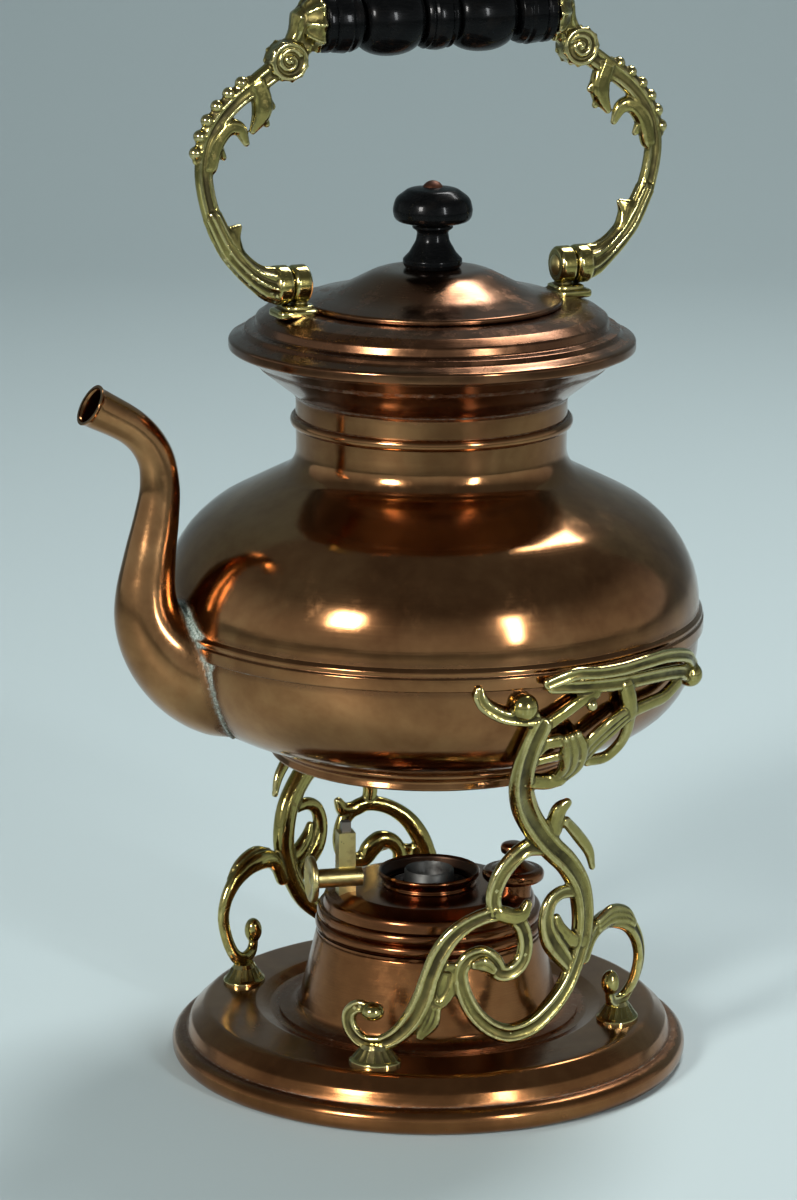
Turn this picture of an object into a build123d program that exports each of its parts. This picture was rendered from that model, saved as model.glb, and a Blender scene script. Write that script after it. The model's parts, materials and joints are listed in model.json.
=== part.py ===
from build123d import *
from math import cos, pi, radians, sin
import os

# A copper spirit kettle with a swinging bail handle, on a brass scroll stand with its burner.
# Millimetres, +Z up. The origin is the centre of the flat ring that the base rests on.
# The spout points along -X, the bail lies in the XZ plane and the two castings face -Y and +Y.

# Base dish
base_radius = 85.0
base_wall = 0.9
base_edge_height = 8.2
edge_round = 3.6
rest_ring_inner = 78.5
land_radius = 74.0
foot_land_height = 17.0
valley_height = 15.4
base_hole_radius = 40.0

# Burner well, the bell-shaped drum in the middle of the dish
well_wall = 0.8
well_foot_radius = 49.5
well_root_radius = 43.4
well_top_radius = 37.3
well_top_height = 42.0
well_lip_radius = 35.4

# Burner
font_gap = 0.5
font_wall = 0.8
font_floor_height = 20.0
cover_radius = 36.2
cover_wall = 0.8
cover_shoulder_radius = 34.4
cover_shoulder_height = 54.6
cover_top_height = 57.4
cover_bead_reach = 1.5
cover_bead_count = 3
cover_bead_step = 2.9
collar_radius = 16.8
collar_waist_radius = 15.2
collar_straight = 1.2
collar_wall = 1.0
collar_top_height = 62.3
draught_radius = 8.2
draught_wall = 0.7
wick_inner_radius = 9.0
wick_wall = 4.0
wick_top_height = 57.5
wick_length = 19.0
carrier_wall = 0.7
carrier_length = 12.0

# Wick raiser: a toothed rod in a square guide, driven by a pinion on a thumb wheel's spindle
raiser_angle = 169.5
raiser_radius = 28.3
rack_side = 3.0
rack_foot_height = 29.0
rack_top_height = 80.4
guide_side = 5.6
guide_gap = 0.1
guide_top_height = 77.0
gear_module = 0.5
pinion_teeth = 8
pinion_width = 3.0
tooth_tip = 0.36
tooth_root = 0.58
tooth_half = 0.27
rack_gap_root = 0.33
rack_gap_tip = 0.72
spindle_height = 62.3
spindle_radius = 1.2
spindle_gap = 0.06
housing_radius = 3.15
housing_inner_reach = 4.6
housing_outer_reach = 10.3
bush_gap = 0.02
wheel_radius = 7.7
wheel_width = 2.0
wheel_stand_off = 1.7

# Filler
filler_angle = -33.7
filler_place_radius = 28.0
filler_neck_radius = 6.0
filler_neck_wall = 0.8
filler_neck_top = 60.0
filler_cap_radius = 10.2
filler_cap_height = 2.8
filler_cap_brim = 3.2
filler_plug_depth = 3.0
filler_plug_gap = 0.3
filler_dome_height = 4.6
filler_knob_radius = 4.3
filler_knob_height = 5.6

# Kettle
body_radius = 87.0
kettle_wall = 1.0
seam_height = 153.5
kettle_floor_height = 110.0
bowl_corner_height = 121.0
bowl_round = 30.0
bowl_foot_radius = 53.0
foot_ring_radius = 50.9
foot_ring_top_radius = 52.6
foot_ring_bottom = 104.0
bead_bottom = 146.0
bead_reach = 1.6
neck_radius = 43.6
neck_top = 222.0
shoulder_top = 199.2
shoulder_corner = 177.2
shoulder_round = 38.0
neck_round = 9.0
neck_ring_drop = 8.2
neck_ring_height = neck_top - neck_ring_drop
neck_ring_tube = 1.9
rim_radius = 65.2
rim_height = 240.5
step_radius = 56.6
step_height = 248.0
seat_height = 251.2
mouth_radius = 38.5
mouth_lip_depth = 5.0

# Spout
spout_wall = 1.1

# Lid
lid_radius = 41.6
lid_wall = 0.9
lid_edge_height = 2.2
lid_height = 12.0
lid_gap = 0.3
sleeve_depth = 9.0
knob_base_radius = 9.3
knob_neck_radius = 4.9
knob_head_radius = 12.6
knob_height = 25.6
stud_radius = 1.6
stud_head_radius = 3.3
stud_head_height = 2.1
nut_across = 6.5
nut_height = 2.4

# Bail handle
pivot_reach = 46.4
pivot_height = 260.8
ear_radius = 6.0
ear_width = 5.8
ear_gap = 0.35
hub_width = 5.6
hub_radius = 6.4
pin_radius = 2.0
pin_gap = 0.06
pin_head_radius = 3.4
pin_head_height = 1.3
pin_end_gap = 0.1
pin_grip_depth = 4.8
lug_foot_length = 13.4
lug_foot_width = 12.0
lug_foot_height = 1.2
arm_half = 2.7
arm_depth = 2.9
arm_bead_radius = 1.9
arm_bead_count = 6
rosette_radius = 6.2
grip_height = 343.0
grip_length = 80.0
grip_collar_radius = 10.0
grip_ball_radius = 11.6
grip_ring_radius = 10.6
rod_radius = 2.2
rod_gap = 0.1
rod_end = 3.4

# Stand castings: scrolls drawn on a wall that stands upright over the feet and flares to the cradle
stand_turn = 4.8
foot_circle = 64.5
foot_angle = 44.5
foot_height = 5.0
foot_half_width = 8.4
foot_half_depth = 6.7
foot_waist = 0.45
flare_start = 86.0
flare_end = 139.0
cradle_gap = 0.3
band_half = 2.2
casting_depth = 0.58
leaf_stand_off = 1.6
drawn_foot_top = 22.0
drawn_cradle = 143.5
screw_radius = 1.9
screw_head_radius = 3.6
screw_head_height = 1.6
screw_reach = 4.0

cradle_height = bead_bottom - cradle_gap - band_half
foot_top = foot_land_height + foot_height
seat_radius = body_radius + cradle_gap + band_half


def upright(radius, height):
    """Point of a turned outline, in the XZ half plane."""
    return Vector(radius, 0, height)


def turned(outline):
    """Solid turned about the Z axis from a closed outline of (radius, height) points."""
    points = [upright(radius, height) for radius, height in outline]
    return revolve(make_face(Polyline(*points, close=True)), Axis.Z)


def spun(outline, rounds, wall, side=Side.LEFT):
    """Sheet of even wall, spun about the Z axis; the outline is its outer side, the wall lies inside it."""
    line = FilletPolyline(*outline, radius=rounds)
    sheet = make_face(offset(line, amount=wall, side=side))
    return revolve(Plane.XZ * sheet, Axis.Z)


def filled(outline, rounds):
    """Solid inside a spun outline whose ends run in to the Z axis."""
    line = FilletPolyline(*outline, radius=rounds)
    ends = Polyline(outline[-1], (0, outline[-1][1]), (0, outline[0][1]), outline[0])
    return revolve(Plane.XZ * make_face(line + ends), Axis.Z)


def tube(radius, wall, low, high):
    """Plain round tube on the Z axis."""
    return turned([(radius - wall, low), (radius, low), (radius, high), (radius - wall, high)])


def rod(radius, low, high):
    """Plain round bar on the Z axis."""
    return Pos(0, 0, (low + high) / 2) * Cylinder(radius, high - low)


def dome(radius, rise, height):
    """Round cap that stands on the plane at height."""
    ball_radius = (radius * radius + rise * rise) / (2 * rise)
    ball = Pos(0, 0, height + rise - ball_radius) * Sphere(ball_radius)
    return ball - rod(ball_radius + 1, height - 2 * ball_radius - 1, height)


def along_x(shape):
    """Turns a shape made on the Z axis so that its axis is X."""
    return Rot(0, 90, 0) * shape


def bar(places, halves, outward, depth, sides=8, steps=2):
    """Cast strand through places: a flattened bar whose half width follows halves, its face turned outward."""
    path = Spline(*places)
    stops = [path.param_at_point(place) for place in places]
    sections = []
    for index in range((len(places) - 1) * steps + 1):
        span = min(index // steps, len(places) - 2)
        part = index / steps - span
        along = stops[span] + (stops[span + 1] - stops[span]) * part
        half = halves[span] + (halves[span + 1] - halves[span]) * part
        centre = path @ along
        ahead = path % along
        across = ahead.cross(outward(centre)).normalized()
        corners = []
        for corner in range(sides):
            turn = 2 * pi * (corner + 0.5) / sides
            corners.append((half * cos(turn), max(half * depth, 1.2) * sin(turn)))
        frame = Plane(origin=centre, x_dir=across, z_dir=ahead)
        sections.append(frame * make_face(Polyline(*corners, close=True)))
    return loft(sections, ruled=True)


# Base and well
def base_plate():
    outline = [
        (rest_ring_inner, 0),
        (base_radius, 0),
        (base_radius, base_edge_height),
        (base_radius - 4.6, base_edge_height),
        (base_radius - 6.2, base_edge_height + 4.2),
        (land_radius, foot_land_height),
        (foot_circle - 7.5, foot_land_height),
        (well_foot_radius + 3.0, valley_height),
        (base_hole_radius, valley_height),
    ]
    dish = spun(outline, [edge_round, edge_round, 0.5, 3.0, 3.6, 2.0, 2.0], base_wall)
    for place in foot_places():
        dish -= place * rod(screw_radius, 0, foot_land_height + 1)
    return dish


def burner_well():
    outline = [
        (well_foot_radius, valley_height + well_wall),
        (well_root_radius, valley_height + well_wall),
        (well_top_radius, well_top_height),
        (well_lip_radius, well_top_height),
    ]
    return spun(outline, [3.6, 0.9], well_wall)


# Burner
def burner_font():
    radius = well_lip_radius - font_gap
    low = font_floor_height
    high = well_top_height
    outline = [
        (draught_radius, low),
        (radius, low),
        (radius, high),
        (cover_radius + 0.9, high),
        (cover_radius + 0.9, high + font_wall),
        (radius - font_wall, high + font_wall),
        (radius - font_wall, low + font_wall),
        (draught_radius, low + font_wall),
    ]
    return turned(outline)


def at_raiser(shape):
    """Puts a shape drawn with its guide on the Z axis, and the wheel towards +X, in its place."""
    return Rot(0, 0, raiser_angle) * Pos(raiser_radius, 0, 0) * shape


def at_filler(shape):
    return Rot(0, 0, filler_angle) * Pos(filler_place_radius, 0, 0) * shape


def burner_cover():
    """Spun cover: a stack of beads at its edge, then a shoulder that runs in to the collar."""
    low = well_top_height + font_wall
    neck = collar_waist_radius - collar_wall
    edge = []
    for bead in range(cover_bead_count):
        foot = low + cover_bead_step * bead
        crest = cover_radius - 0.3 * bead + cover_bead_reach
        edge.append((crest - cover_bead_reach, foot))
        edge.append((crest - 0.4, foot + 0.5))
        edge.append((crest, foot + cover_bead_step / 2))
        edge.append((crest - 0.4, foot + cover_bead_step - 0.5))
    shoulder = [
        (cover_radius - 0.9, low + cover_bead_step * cover_bead_count),
        (cover_shoulder_radius, cover_shoulder_height),
        (raiser_radius - 0.3, cover_top_height - 0.4),
        (neck, cover_top_height),
    ]
    inside = [
        (neck, cover_top_height - cover_wall),
        (raiser_radius - 0.6, cover_top_height - 0.4 - cover_wall),
        (cover_shoulder_radius - 1.2, cover_shoulder_height - cover_wall),
        (cover_radius - 2 * cover_wall, low + cover_bead_step * cover_bead_count - 1.0),
        (cover_radius - cover_wall, low),
    ]
    outer = Polyline(*edge, shoulder[0]) + FilletPolyline(*shoulder, radius=[3.0, 4.0])
    inner = Polyline(shoulder[-1], *inside, edge[0])
    cover = revolve(Plane.XZ * make_face(outer + inner), Axis.Z)
    opening = Pos(0, 0, cover_top_height) * Box(guide_side, guide_side, 12)
    cover -= at_raiser(opening)
    cover -= at_filler(rod(filler_neck_radius, cover_top_height - 6, cover_top_height + 6))
    return cover


def burner_collar():
    """Short chimney that flares to its rim."""
    low = cover_top_height
    high = collar_top_height
    outline = [
        (collar_waist_radius, low),
        (collar_waist_radius, low + collar_straight),
        (collar_radius, high - 1.4),
        (collar_radius, high),
        (collar_radius - collar_wall, high),
        (collar_radius - collar_wall, high - 1.1),
        (collar_waist_radius - collar_wall, low + collar_straight),
        (collar_waist_radius - collar_wall, low),
    ]
    return turned(outline)


def draught_tube():
    return tube(draught_radius, draught_wall, font_floor_height - 0.8, collar_top_height + 0.2)


def wick():
    return tube(wick_inner_radius + wick_wall, wick_wall, wick_top_height - wick_length, wick_top_height)


def wick_carrier():
    radius = wick_inner_radius + wick_wall + carrier_wall
    low = wick_top_height - wick_length - 6.0
    sleeve = tube(radius, carrier_wall, low, low + carrier_length)
    reach = raiser_radius - radius + carrier_wall / 2 + rack_side / 2
    arm = Pos(radius - carrier_wall / 2 + reach / 2, 0, low + 0.8) * Box(reach, rack_side, 1.6)
    seat = Pos(raiser_radius, 0, low + 0.8) * Box(rack_side, rack_side, 1.6)
    return sleeve + Rot(0, 0, raiser_angle) * (arm - seat)


# Wick raiser
pitch_radius = gear_module * pinion_teeth / 2
tooth_pitch = pi * gear_module
pitch_line = rack_side / 2 - tooth_tip
spindle_offset = pitch_line + pitch_radius


def wick_rack():
    half = rack_side / 2
    height = rack_top_height - rack_foot_height
    shaft = Pos(0, 0, rack_foot_height + height / 2) * Box(rack_side, rack_side, height)
    root = pitch_line - tooth_root
    for step in range(-6, 4):
        centre = spindle_height + step * tooth_pitch
        gap = [
            (root, centre - rack_gap_root),
            (half + 0.1, centre - rack_gap_tip),
            (half + 0.1, centre + rack_gap_tip),
            (root, centre + rack_gap_root),
        ]
        corners = [Vector(-half - 1, y, z) for y, z in gap]
        shaft -= extrude(make_face(Polyline(*corners, close=True)), amount=rack_side + 2, dir=(1, 0, 0))
    return at_raiser(shaft)


def pinion_spindle():
    root = pitch_radius - tooth_root
    tip = pitch_radius + tooth_tip
    corners = []
    for tooth in range(pinion_teeth):
        middle = 2 * pi * tooth / pinion_teeth
        for radius, half in ((root, tooth_half * 1.5), (tip, tooth_half * 0.55)):
            corners.append((radius, middle - half / radius, half))
        for radius, half in ((tip, tooth_half * 0.55), (root, tooth_half * 1.5)):
            corners.append((radius, middle + half / radius, half))
    outline = [(0, radius * cos(turn), radius * sin(turn)) for radius, turn, half in corners]
    gear = extrude(make_face(Polyline(*outline, close=True)), amount=pinion_width / 2, dir=(1, 0, 0), both=True)
    inner = -housing_inner_reach + 0.8
    outer = housing_outer_reach + wheel_stand_off
    spindle = along_x(rod(spindle_radius, inner, outer))
    return at_raiser(Pos(0, spindle_offset, spindle_height) * (gear + spindle))


def raiser_guide():
    low = cover_top_height - 4.0
    middle = (low + guide_top_height) / 2
    height = guide_top_height - low
    guide = Pos(0, 0, middle) * Box(guide_side, guide_side, height)
    house = along_x(rod(housing_radius, -housing_inner_reach, housing_outer_reach))
    guide += Pos(0, spindle_offset, spindle_height) * house
    channel = rack_side + 2 * guide_gap
    guide -= Pos(0, 0, middle) * Box(channel, channel, height + 2)
    bore = along_x(rod(spindle_radius + spindle_gap, -housing_inner_reach + 0.7, 0))
    room = along_x(rod(bush_radius(), -pinion_width / 2 - 0.2, housing_outer_reach + 1))
    guide -= Pos(0, spindle_offset, spindle_height) * (bore + room)
    return at_raiser(guide)


def bush_radius():
    return pitch_radius + tooth_tip + 0.14


def spindle_bush():
    bush = along_x(rod(bush_radius() - bush_gap, pinion_width / 2 + 0.2, housing_outer_reach))
    bush -= along_x(rod(spindle_radius + spindle_gap, 0, housing_outer_reach + 1))
    return at_raiser(Pos(0, spindle_offset, spindle_height) * bush)


def thumb_wheel():
    inner = housing_outer_reach + wheel_stand_off - wheel_width / 2
    wheel = along_x(rod(wheel_radius, inner, inner + wheel_width))
    wheel = chamfer(wheel.edges().filter_by(GeomType.CIRCLE), 0.5)
    wheel += along_x(rod(spindle_radius * 2, inner + wheel_width, inner + wheel_width + 0.9))
    wheel -= along_x(rod(spindle_radius, 0, housing_outer_reach + wheel_stand_off))
    return at_raiser(Pos(0, spindle_offset, spindle_height) * wheel)


# Filler
def filler_neck():
    return at_filler(tube(filler_neck_radius, filler_neck_wall, cover_top_height - 3, filler_neck_top))


def filler_cap():
    """Stopper: a plug in the neck, a thick rounded brim and a low cone under the knob."""
    low = filler_neck_top
    high = low + filler_cap_height
    top = high + filler_dome_height
    plug = filler_neck_radius - filler_neck_wall - filler_plug_gap
    outline = [
        (plug, low - filler_plug_depth),
        (plug, low),
        (filler_cap_radius, low),
        (filler_cap_radius, high),
        (filler_cap_radius - filler_cap_brim, high),
        (filler_knob_radius * 0.6, top - 1.0),
        (filler_knob_radius * 0.5, top),
    ]
    return at_filler(filled(outline, [0.01, 1.2, 1.2, 1.0, 0.8]))


def filler_knob():
    low = filler_neck_top + filler_cap_height + filler_dome_height
    high = low + filler_knob_height
    waist = filler_knob_radius * 0.55
    outline = [(waist, low), (waist, low + 1.2), (filler_knob_radius, low + 2.0), (filler_knob_radius, high)]
    return at_filler(filled(outline + [(0.5, high)], [0.4, 1.0, 2.2]))


# Stand castings
def wall_radius(height):
    """Radius of the wall that the scrolls are drawn on."""
    rise = min(max((height - flare_start) / (flare_end - flare_start), 0), 1)
    return foot_circle + (seat_radius - foot_circle) * rise * rise * (3 - 2 * rise)


def from_axis(point):
    return Vector(point.X, point.Y, 0).normalized()


def scroll(drawn, inset=0.0):
    """Casting strand through (angle, drawn height, half width) points on the wall."""
    stretch = (cradle_height - foot_top) / (drawn_cradle - drawn_foot_top)
    places = []
    for angle, height, half in drawn:
        radius = wall_radius(height) - inset
        rise = foot_top + (height - drawn_foot_top) * stretch
        places.append(Vector(radius * cos(radians(angle)), radius * sin(radians(angle)), rise))
    return bar(places, [half for angle, height, half in drawn], from_axis, casting_depth)


def ball_on_wall(angle, height, radius):
    stretch = (cradle_height - foot_top) / (drawn_cradle - drawn_foot_top)
    reach = wall_radius(height) + radius - band_half
    rise = foot_top + (height - drawn_foot_top) * stretch
    return Pos(reach * cos(radians(angle)), reach * sin(radians(angle)), rise) * Sphere(radius)


def cradle_band():
    """The arc that the kettle's bead rests on, drawn on a true circle just outside the body."""
    turns = [-6, 3, 12, 21, 30]
    halves = [1.8, band_half, band_half, band_half, 2.1]
    places = []
    for turn in turns:
        place = Vector(seat_radius * cos(radians(turn)), seat_radius * sin(radians(turn)), cradle_height)
        places.append(place)
    return bar(places, halves, from_axis, 1.0)


def casting():
    """One scroll bracket, centred on the +X side; its two feet stand foot_angle to each side."""
    main = [
        (-6.8, 138.3, 3.0), (-7.7, 131.2, 3.6), (-8.6, 122.6, 3.9), (-7.1, 112.7, 3.9),
        (-2.8, 102.2, 3.8), (4.8, 91.6, 3.9), (13.2, 83.7, 3.8), (18.3, 76.4, 3.9),
        (20.9, 67.4, 3.9), (21.0, 58.3, 3.6), (20.1, 50.1, 3.6), (18.0, 42.9, 3.6),
        (14.4, 35.8, 3.3), (7.2, 29.7, 3.1), (-0.6, 26.3, 2.6), (-7.6, 26.4, 2.4),
        (-13.9, 29.8, 2.3), (-18.3, 36.9, 2.3), (-20.4, 43.7, 1.8), (-20.1, 50.0, 1.6),
        (-17.6, 53.2, 2.0), (-13.5, 52.9, 2.2), (-10.8, 49.3, 2.2), (-7.8, 45.9, 2.2),
        (-4.1, 47.7, 2.1), (-1.6, 53.3, 2.0), (-2.6, 60.1, 2.0), (-7.3, 64.5, 2.1),
        (-12.4, 65.4, 2.1), (-19.1, 63.3, 2.0), (-24.7, 57.9, 2.2), (-28.3, 50.3, 2.6),
        (-30.5, 42.2, 3.2), (-33.0, 34.8, 3.6), (-37.3, 27.9, 3.2), (-43.6, 23.6, 2.4),
        (-49.9, 24.4, 2.3), (-53.0, 28.7, 2.2), (-52.0, 32.5, 1.9), (-45.4, 34.1, 1.4),
    ]
    left_arch = [(3.0, 92.5, 1.9), (-2.3, 86.7, 1.9), (-7.5, 81.4, 1.8), (-10.7, 74.5, 1.7), (-10.4, 65.0, 1.7)]
    arch_tip = [(-9.5, 65.5, 1.4), (-4.5, 66.6, 1.7), (-1.2, 68.6, 1.3), (0.4, 71.6, 0.5)]
    stem_tip = [(6.0, 90.0, 2.2), (8.3, 95.4, 2.2), (9.6, 99.6, 1.7), (11.0, 103.2, 0.6)]
    inner_curl = [
        (19.5, 71.0, 1.5), (11.1, 71.5, 1.5), (7.1, 67.7, 1.6), (6.1, 60.2, 2.2),
        (8.3, 52.7, 2.8), (13.5, 44.3, 2.2), (17.0, 38.0, 1.5),
    ]
    outer_leg = [
        (18.8, 43.0, 2.5), (23.5, 48.4, 2.8), (29.8, 53.5, 3.2), (40.0, 54.5, 3.0),
        (49.0, 49.0, 2.6), (53.0, 41.0, 2.4), (51.0, 31.0, 2.2), (45.0, 23.8, 2.2), (40.0, 27.0, 2.0), (38.6, 32.4, 1.6),
    ]
    outer_leaf = [(38.0, 55.5, 2.2), (47.0, 53.5, 1.9), (53.0, 48.5, 0.7)]
    inner_leaf = [(-27.0, 54.5, 1.4), (-23.8, 48.4, 3.0), (-25.4, 42.0, 3.0), (-27.5, 37.0, 1.2)]
    foot_leaf = [(-31.0, 40.0, 1.6), (-30.0, 33.0, 2.6), (-33.5, 25.5, 0.9)]
    hook = [(-6.8, 138.3, 2.2), (-10.6, 135.4, 1.6), (-14.8, 136.0, 1.5), (-17.8, 139.4, 1.5), (-19.2, 144.0, 1.2)]
    brace = [(-6.5, 132.5, 1.8), (-1.4, 137.3, 1.7), (3.5, 141.0, 1.7), (8.0, 143.8, 1.5)]
    lower_leaf = [
        (-5.5, 108.5, 2.2), (3.8, 111.0, 3.4), (8.8, 116.0, 4.6), (13.4, 123.0, 4.2),
        (15.6, 131.0, 3.4), (14.4, 141.0, 2.4),
    ]
    upper_leaf = [(-6.5, 123.0, 2.0), (0.2, 125.9, 2.0), (6.5, 122.5, 2.4)]
    low_brace = [(15.5, 134.6, 2.2), (23.0, 136.2, 2.0), (29.5, 140.5, 1.8)]
    piece = scroll(main)
    branches = [left_arch, arch_tip, stem_tip, inner_curl, outer_leg, outer_leaf, inner_leaf, foot_leaf]
    for branch in branches + [hook, brace, upper_leaf, low_brace]:
        piece += scroll(branch)
    piece += scroll(lower_leaf, -leaf_stand_off)
    piece += cradle_band()
    piece += ball_on_wall(-9.4, 140.0, 4.2)
    piece += ball_on_wall(31.6, 141.0, 3.5)
    piece += ball_on_wall(38.6, 33.6, 3.0)
    return piece


def placed_casting(side):
    return Rot(0, 0, side * 90 + stand_turn) * scroll_casting


def foot_places():
    places = []
    for side in (-90, 90):
        for angle in (-foot_angle, foot_angle):
            places.append(Rot(0, 0, side + stand_turn + angle) * Pos(foot_circle, 0, 0))
    return places


def bracket_feet():
    """Four cones, each hollowed at the top where its scroll is brazed to it."""
    low = Pos(0, 0, foot_land_height) * Ellipse(foot_half_depth, foot_half_width)
    high = Pos(0, 0, foot_top + 1.0) * Ellipse(foot_half_depth * foot_waist, foot_half_width * foot_waist)
    foot = loft([low, high]) - rod(screw_radius, foot_land_height - 1, foot_land_height + screw_reach)
    feet = []
    for angle in (-foot_angle, foot_angle):
        seated = Rot(0, 0, angle) * Pos(foot_circle, 0, 0) * foot - scroll_casting
        for side in (-90, 90):
            feet.append(Rot(0, 0, side + stand_turn) * seated.solid())
    return Compound(feet)


def foot_screws():
    low = foot_land_height - base_wall
    outline = [
        (0, low - screw_head_height),
        (screw_head_radius, low - screw_head_height),
        (screw_head_radius, low),
        (screw_radius, low),
        (screw_radius, foot_land_height + screw_reach),
        (0, foot_land_height + screw_reach),
    ]
    screw = turned(outline)
    return Compound([place * screw.solid() for place in foot_places()])


# Kettle
def lower_outline():
    return [(body_radius, seam_height), (body_radius, bowl_corner_height), (bowl_foot_radius, kettle_floor_height)]


def upper_outline():
    return [
        (body_radius, seam_height),
        (body_radius, shoulder_corner),
        (neck_radius, shoulder_top),
        (neck_radius, neck_top),
    ]


def spout_sections(shrink, start, end):
    """Round sections of the spout, from its wide root to its mouth, less shrink all round."""
    stations = [
        (-64.0, 136.0, -2, 24.0, 20.5),
        (-76.0, 137.0, 4, 22.5, 19.8),
        (-86.0, 141.0, 24, 19.0, 16.8),
        (-93.8, 148.6, 52, 14.4, 13.2),
        (-98.0, 157.4, 76, 11.2, 11.0),
        (-98.8, 166.0, 92, 9.5, 9.5),
        (-97.2, 177.8, 98, 8.2, 8.2),
        (-94.9, 190.0, 98, 7.1, 7.1),
        (-93.8, 200.0, 90, 6.3, 6.3),
        (-95.6, 210.0, 65, 5.8, 5.8),
        (-102.4, 218.8, 40, 5.8, 5.8),
        (-115.8, 226.8, 30, 6.5, 6.5),
    ]
    sections = []
    for x, z, turn, half_width, half_height in stations[start:end]:
        ahead = Vector(-cos(radians(turn)), 0, sin(radians(turn)))
        frame = Plane(origin=(x, 0, z), x_dir=(0, 1, 0), z_dir=ahead)
        sections.append(frame * Ellipse(half_width - shrink, half_height - shrink))
    return sections


def spout_solid(shrink):
    """The spout as a full solid: its smooth root and its slim neck, lofted apart and joined."""
    root = loft(spout_sections(shrink, 0, 6))
    neck = loft(spout_sections(shrink, 5, 12))
    return root + neck


def body_fill():
    """Everything inside the outer surface of the kettle's body."""
    low = filled(lower_outline(), [bowl_round])
    high = filled(upper_outline(), [shoulder_round, neck_round])
    return low + high


scroll_casting = casting()
spout_outer = spout_solid(0)
spout_bore = spout_solid(spout_wall)


def kettle_lower_body():
    outline = [(0, kettle_floor_height)] + list(reversed(lower_outline()))
    outer = spun(outline, [4.0, bowl_round], kettle_wall)
    return outer - spout_bore


def kettle_upper_body():
    return spun(upper_outline(), [shoulder_round, neck_round], kettle_wall) - spout_bore


def bead_ring():
    outline = [
        (body_radius, bead_bottom),
        (body_radius + bead_reach, bead_bottom),
        (body_radius + bead_reach, seam_height),
        (body_radius, seam_height),
    ]
    line = FilletPolyline(*outline, radius=[0.8, 1.5]) + Line(outline[-1], outline[0])
    return revolve(Plane.XZ * make_face(line), Axis.Z) - spout_outer


def spout():
    return spout_outer - spout_bore - body_fill()


def kettle_foot_ring():
    outline = [
        (foot_ring_radius - 1.0, foot_ring_bottom),
        (foot_ring_radius, foot_ring_bottom),
        (foot_ring_top_radius, kettle_floor_height - 1.6),
        (foot_ring_radius, kettle_floor_height),
        (foot_ring_radius - 1.2, kettle_floor_height),
        (foot_ring_top_radius - 1.2, kettle_floor_height - 1.6),
    ]
    return turned(outline)


def neck_ring():
    ring = Pos(0, 0, neck_ring_height) * Torus(neck_radius, neck_ring_tube)
    return ring - rod(neck_radius, neck_ring_height - 5, neck_ring_height + 5)


def rim_collar():
    outline = [
        (neck_radius, neck_top),
        (neck_radius + 4.4, neck_top + 3.6),
        (step_radius, neck_top + 10.6),
        (rim_radius - 3.6, neck_top + 14.4),
        (rim_radius, rim_height - 2.6),
        (rim_radius, rim_height),
        (step_radius, rim_height + 3.2),
        (step_radius, step_height),
        (step_radius - 7.0, seat_height),
        (mouth_radius, seat_height),
        (mouth_radius, seat_height - mouth_lip_depth),
    ]
    return spun(outline, [2.0, 1.5, 1.2, 1.0, 1.0, 1.2, 1.2, 2.0, 1.2], kettle_wall, Side.RIGHT)


# Lid
def lid_shell():
    low = seat_height
    high = low + lid_edge_height
    outline = [
        (lid_radius - 1.5, low),
        (lid_radius, low),
        (lid_radius, high),
        (lid_radius - 3.4, high + 0.6),
        (lid_radius * 0.5, low + lid_height * 0.8),
        (lid_radius * 0.2, low + lid_height),
        (stud_radius, low + lid_height),
    ]
    return spun(outline, [0.5, 0.8, 0.8, 10.0, 5.0], lid_wall)


def lid_sleeve():
    radius = mouth_radius - kettle_wall - lid_gap
    return tube(radius, lid_wall, seat_height - sleeve_depth, seat_height + lid_edge_height - 0.4)


def lid_knob():
    low = seat_height + lid_height
    outline = [
        (knob_base_radius - 0.6, low),
        (knob_base_radius, low + 3.0),
        (knob_neck_radius, low + 8.6),
        (knob_neck_radius, low + 12.4),
        (knob_head_radius, low + 14.8),
        (knob_head_radius, low + 21.0),
        (knob_head_radius * 0.62, low + knob_height - 0.7),
        (stud_radius, low + knob_height),
    ]
    line = FilletPolyline(*outline, radius=[2.0, 4.0, 1.0, 2.6, 3.4, 3.0])
    core = Polyline(outline[-1], (stud_radius, low), outline[0])
    return revolve(Plane.XZ * make_face(line + core), Axis.Z)


def knob_stud():
    low = seat_height + lid_height - 5.0
    high = seat_height + lid_height + knob_height
    stud = rod(stud_radius, low, high)
    return stud + dome(stud_head_radius, stud_head_height, high)


def knob_nut():
    high = seat_height + lid_height - lid_wall
    nut = extrude(RegularPolygon(nut_across / 2, 6, major_radius=False), nut_height)
    return Pos(0, 0, high - nut_height) * nut - rod(stud_radius, 0, high + 1)


# Bail handle, drawn for the +X side and mirrored for the other
def at_side(side, shape):
    return shape if side > 0 else mirror(shape, Plane.YZ)


def lug(side):
    ear = along_x(rod(ear_radius, pivot_reach - ear_width / 2, pivot_reach + ear_width / 2))
    ear = Pos(0, 0, pivot_height) * ear
    foot_z = seat_height
    foot = Pos(pivot_reach + 2.2, 0, foot_z) * extrude(Ellipse(lug_foot_length / 2, lug_foot_width / 2), lug_foot_height)
    foot_low = Pos(pivot_reach + 2.2, 0, foot_z + lug_foot_height) * Ellipse(lug_foot_length / 2 - 1, lug_foot_width / 2 - 1)
    waist = Pos(pivot_reach, 0, foot_z + 2.8) * Ellipse(2.9, 3.6)
    crown = Pos(pivot_reach, 0, pivot_height - 3.5) * Ellipse(2.8, 4.4)
    lug_body = foot + loft([foot_low, waist, crown], ruled=True) + ear
    bore = Pos(0, 0, pivot_height) * along_x(rod(pin_radius + pin_gap, 0, pivot_reach + 20))
    return at_side(side, lug_body - bore)


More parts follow.
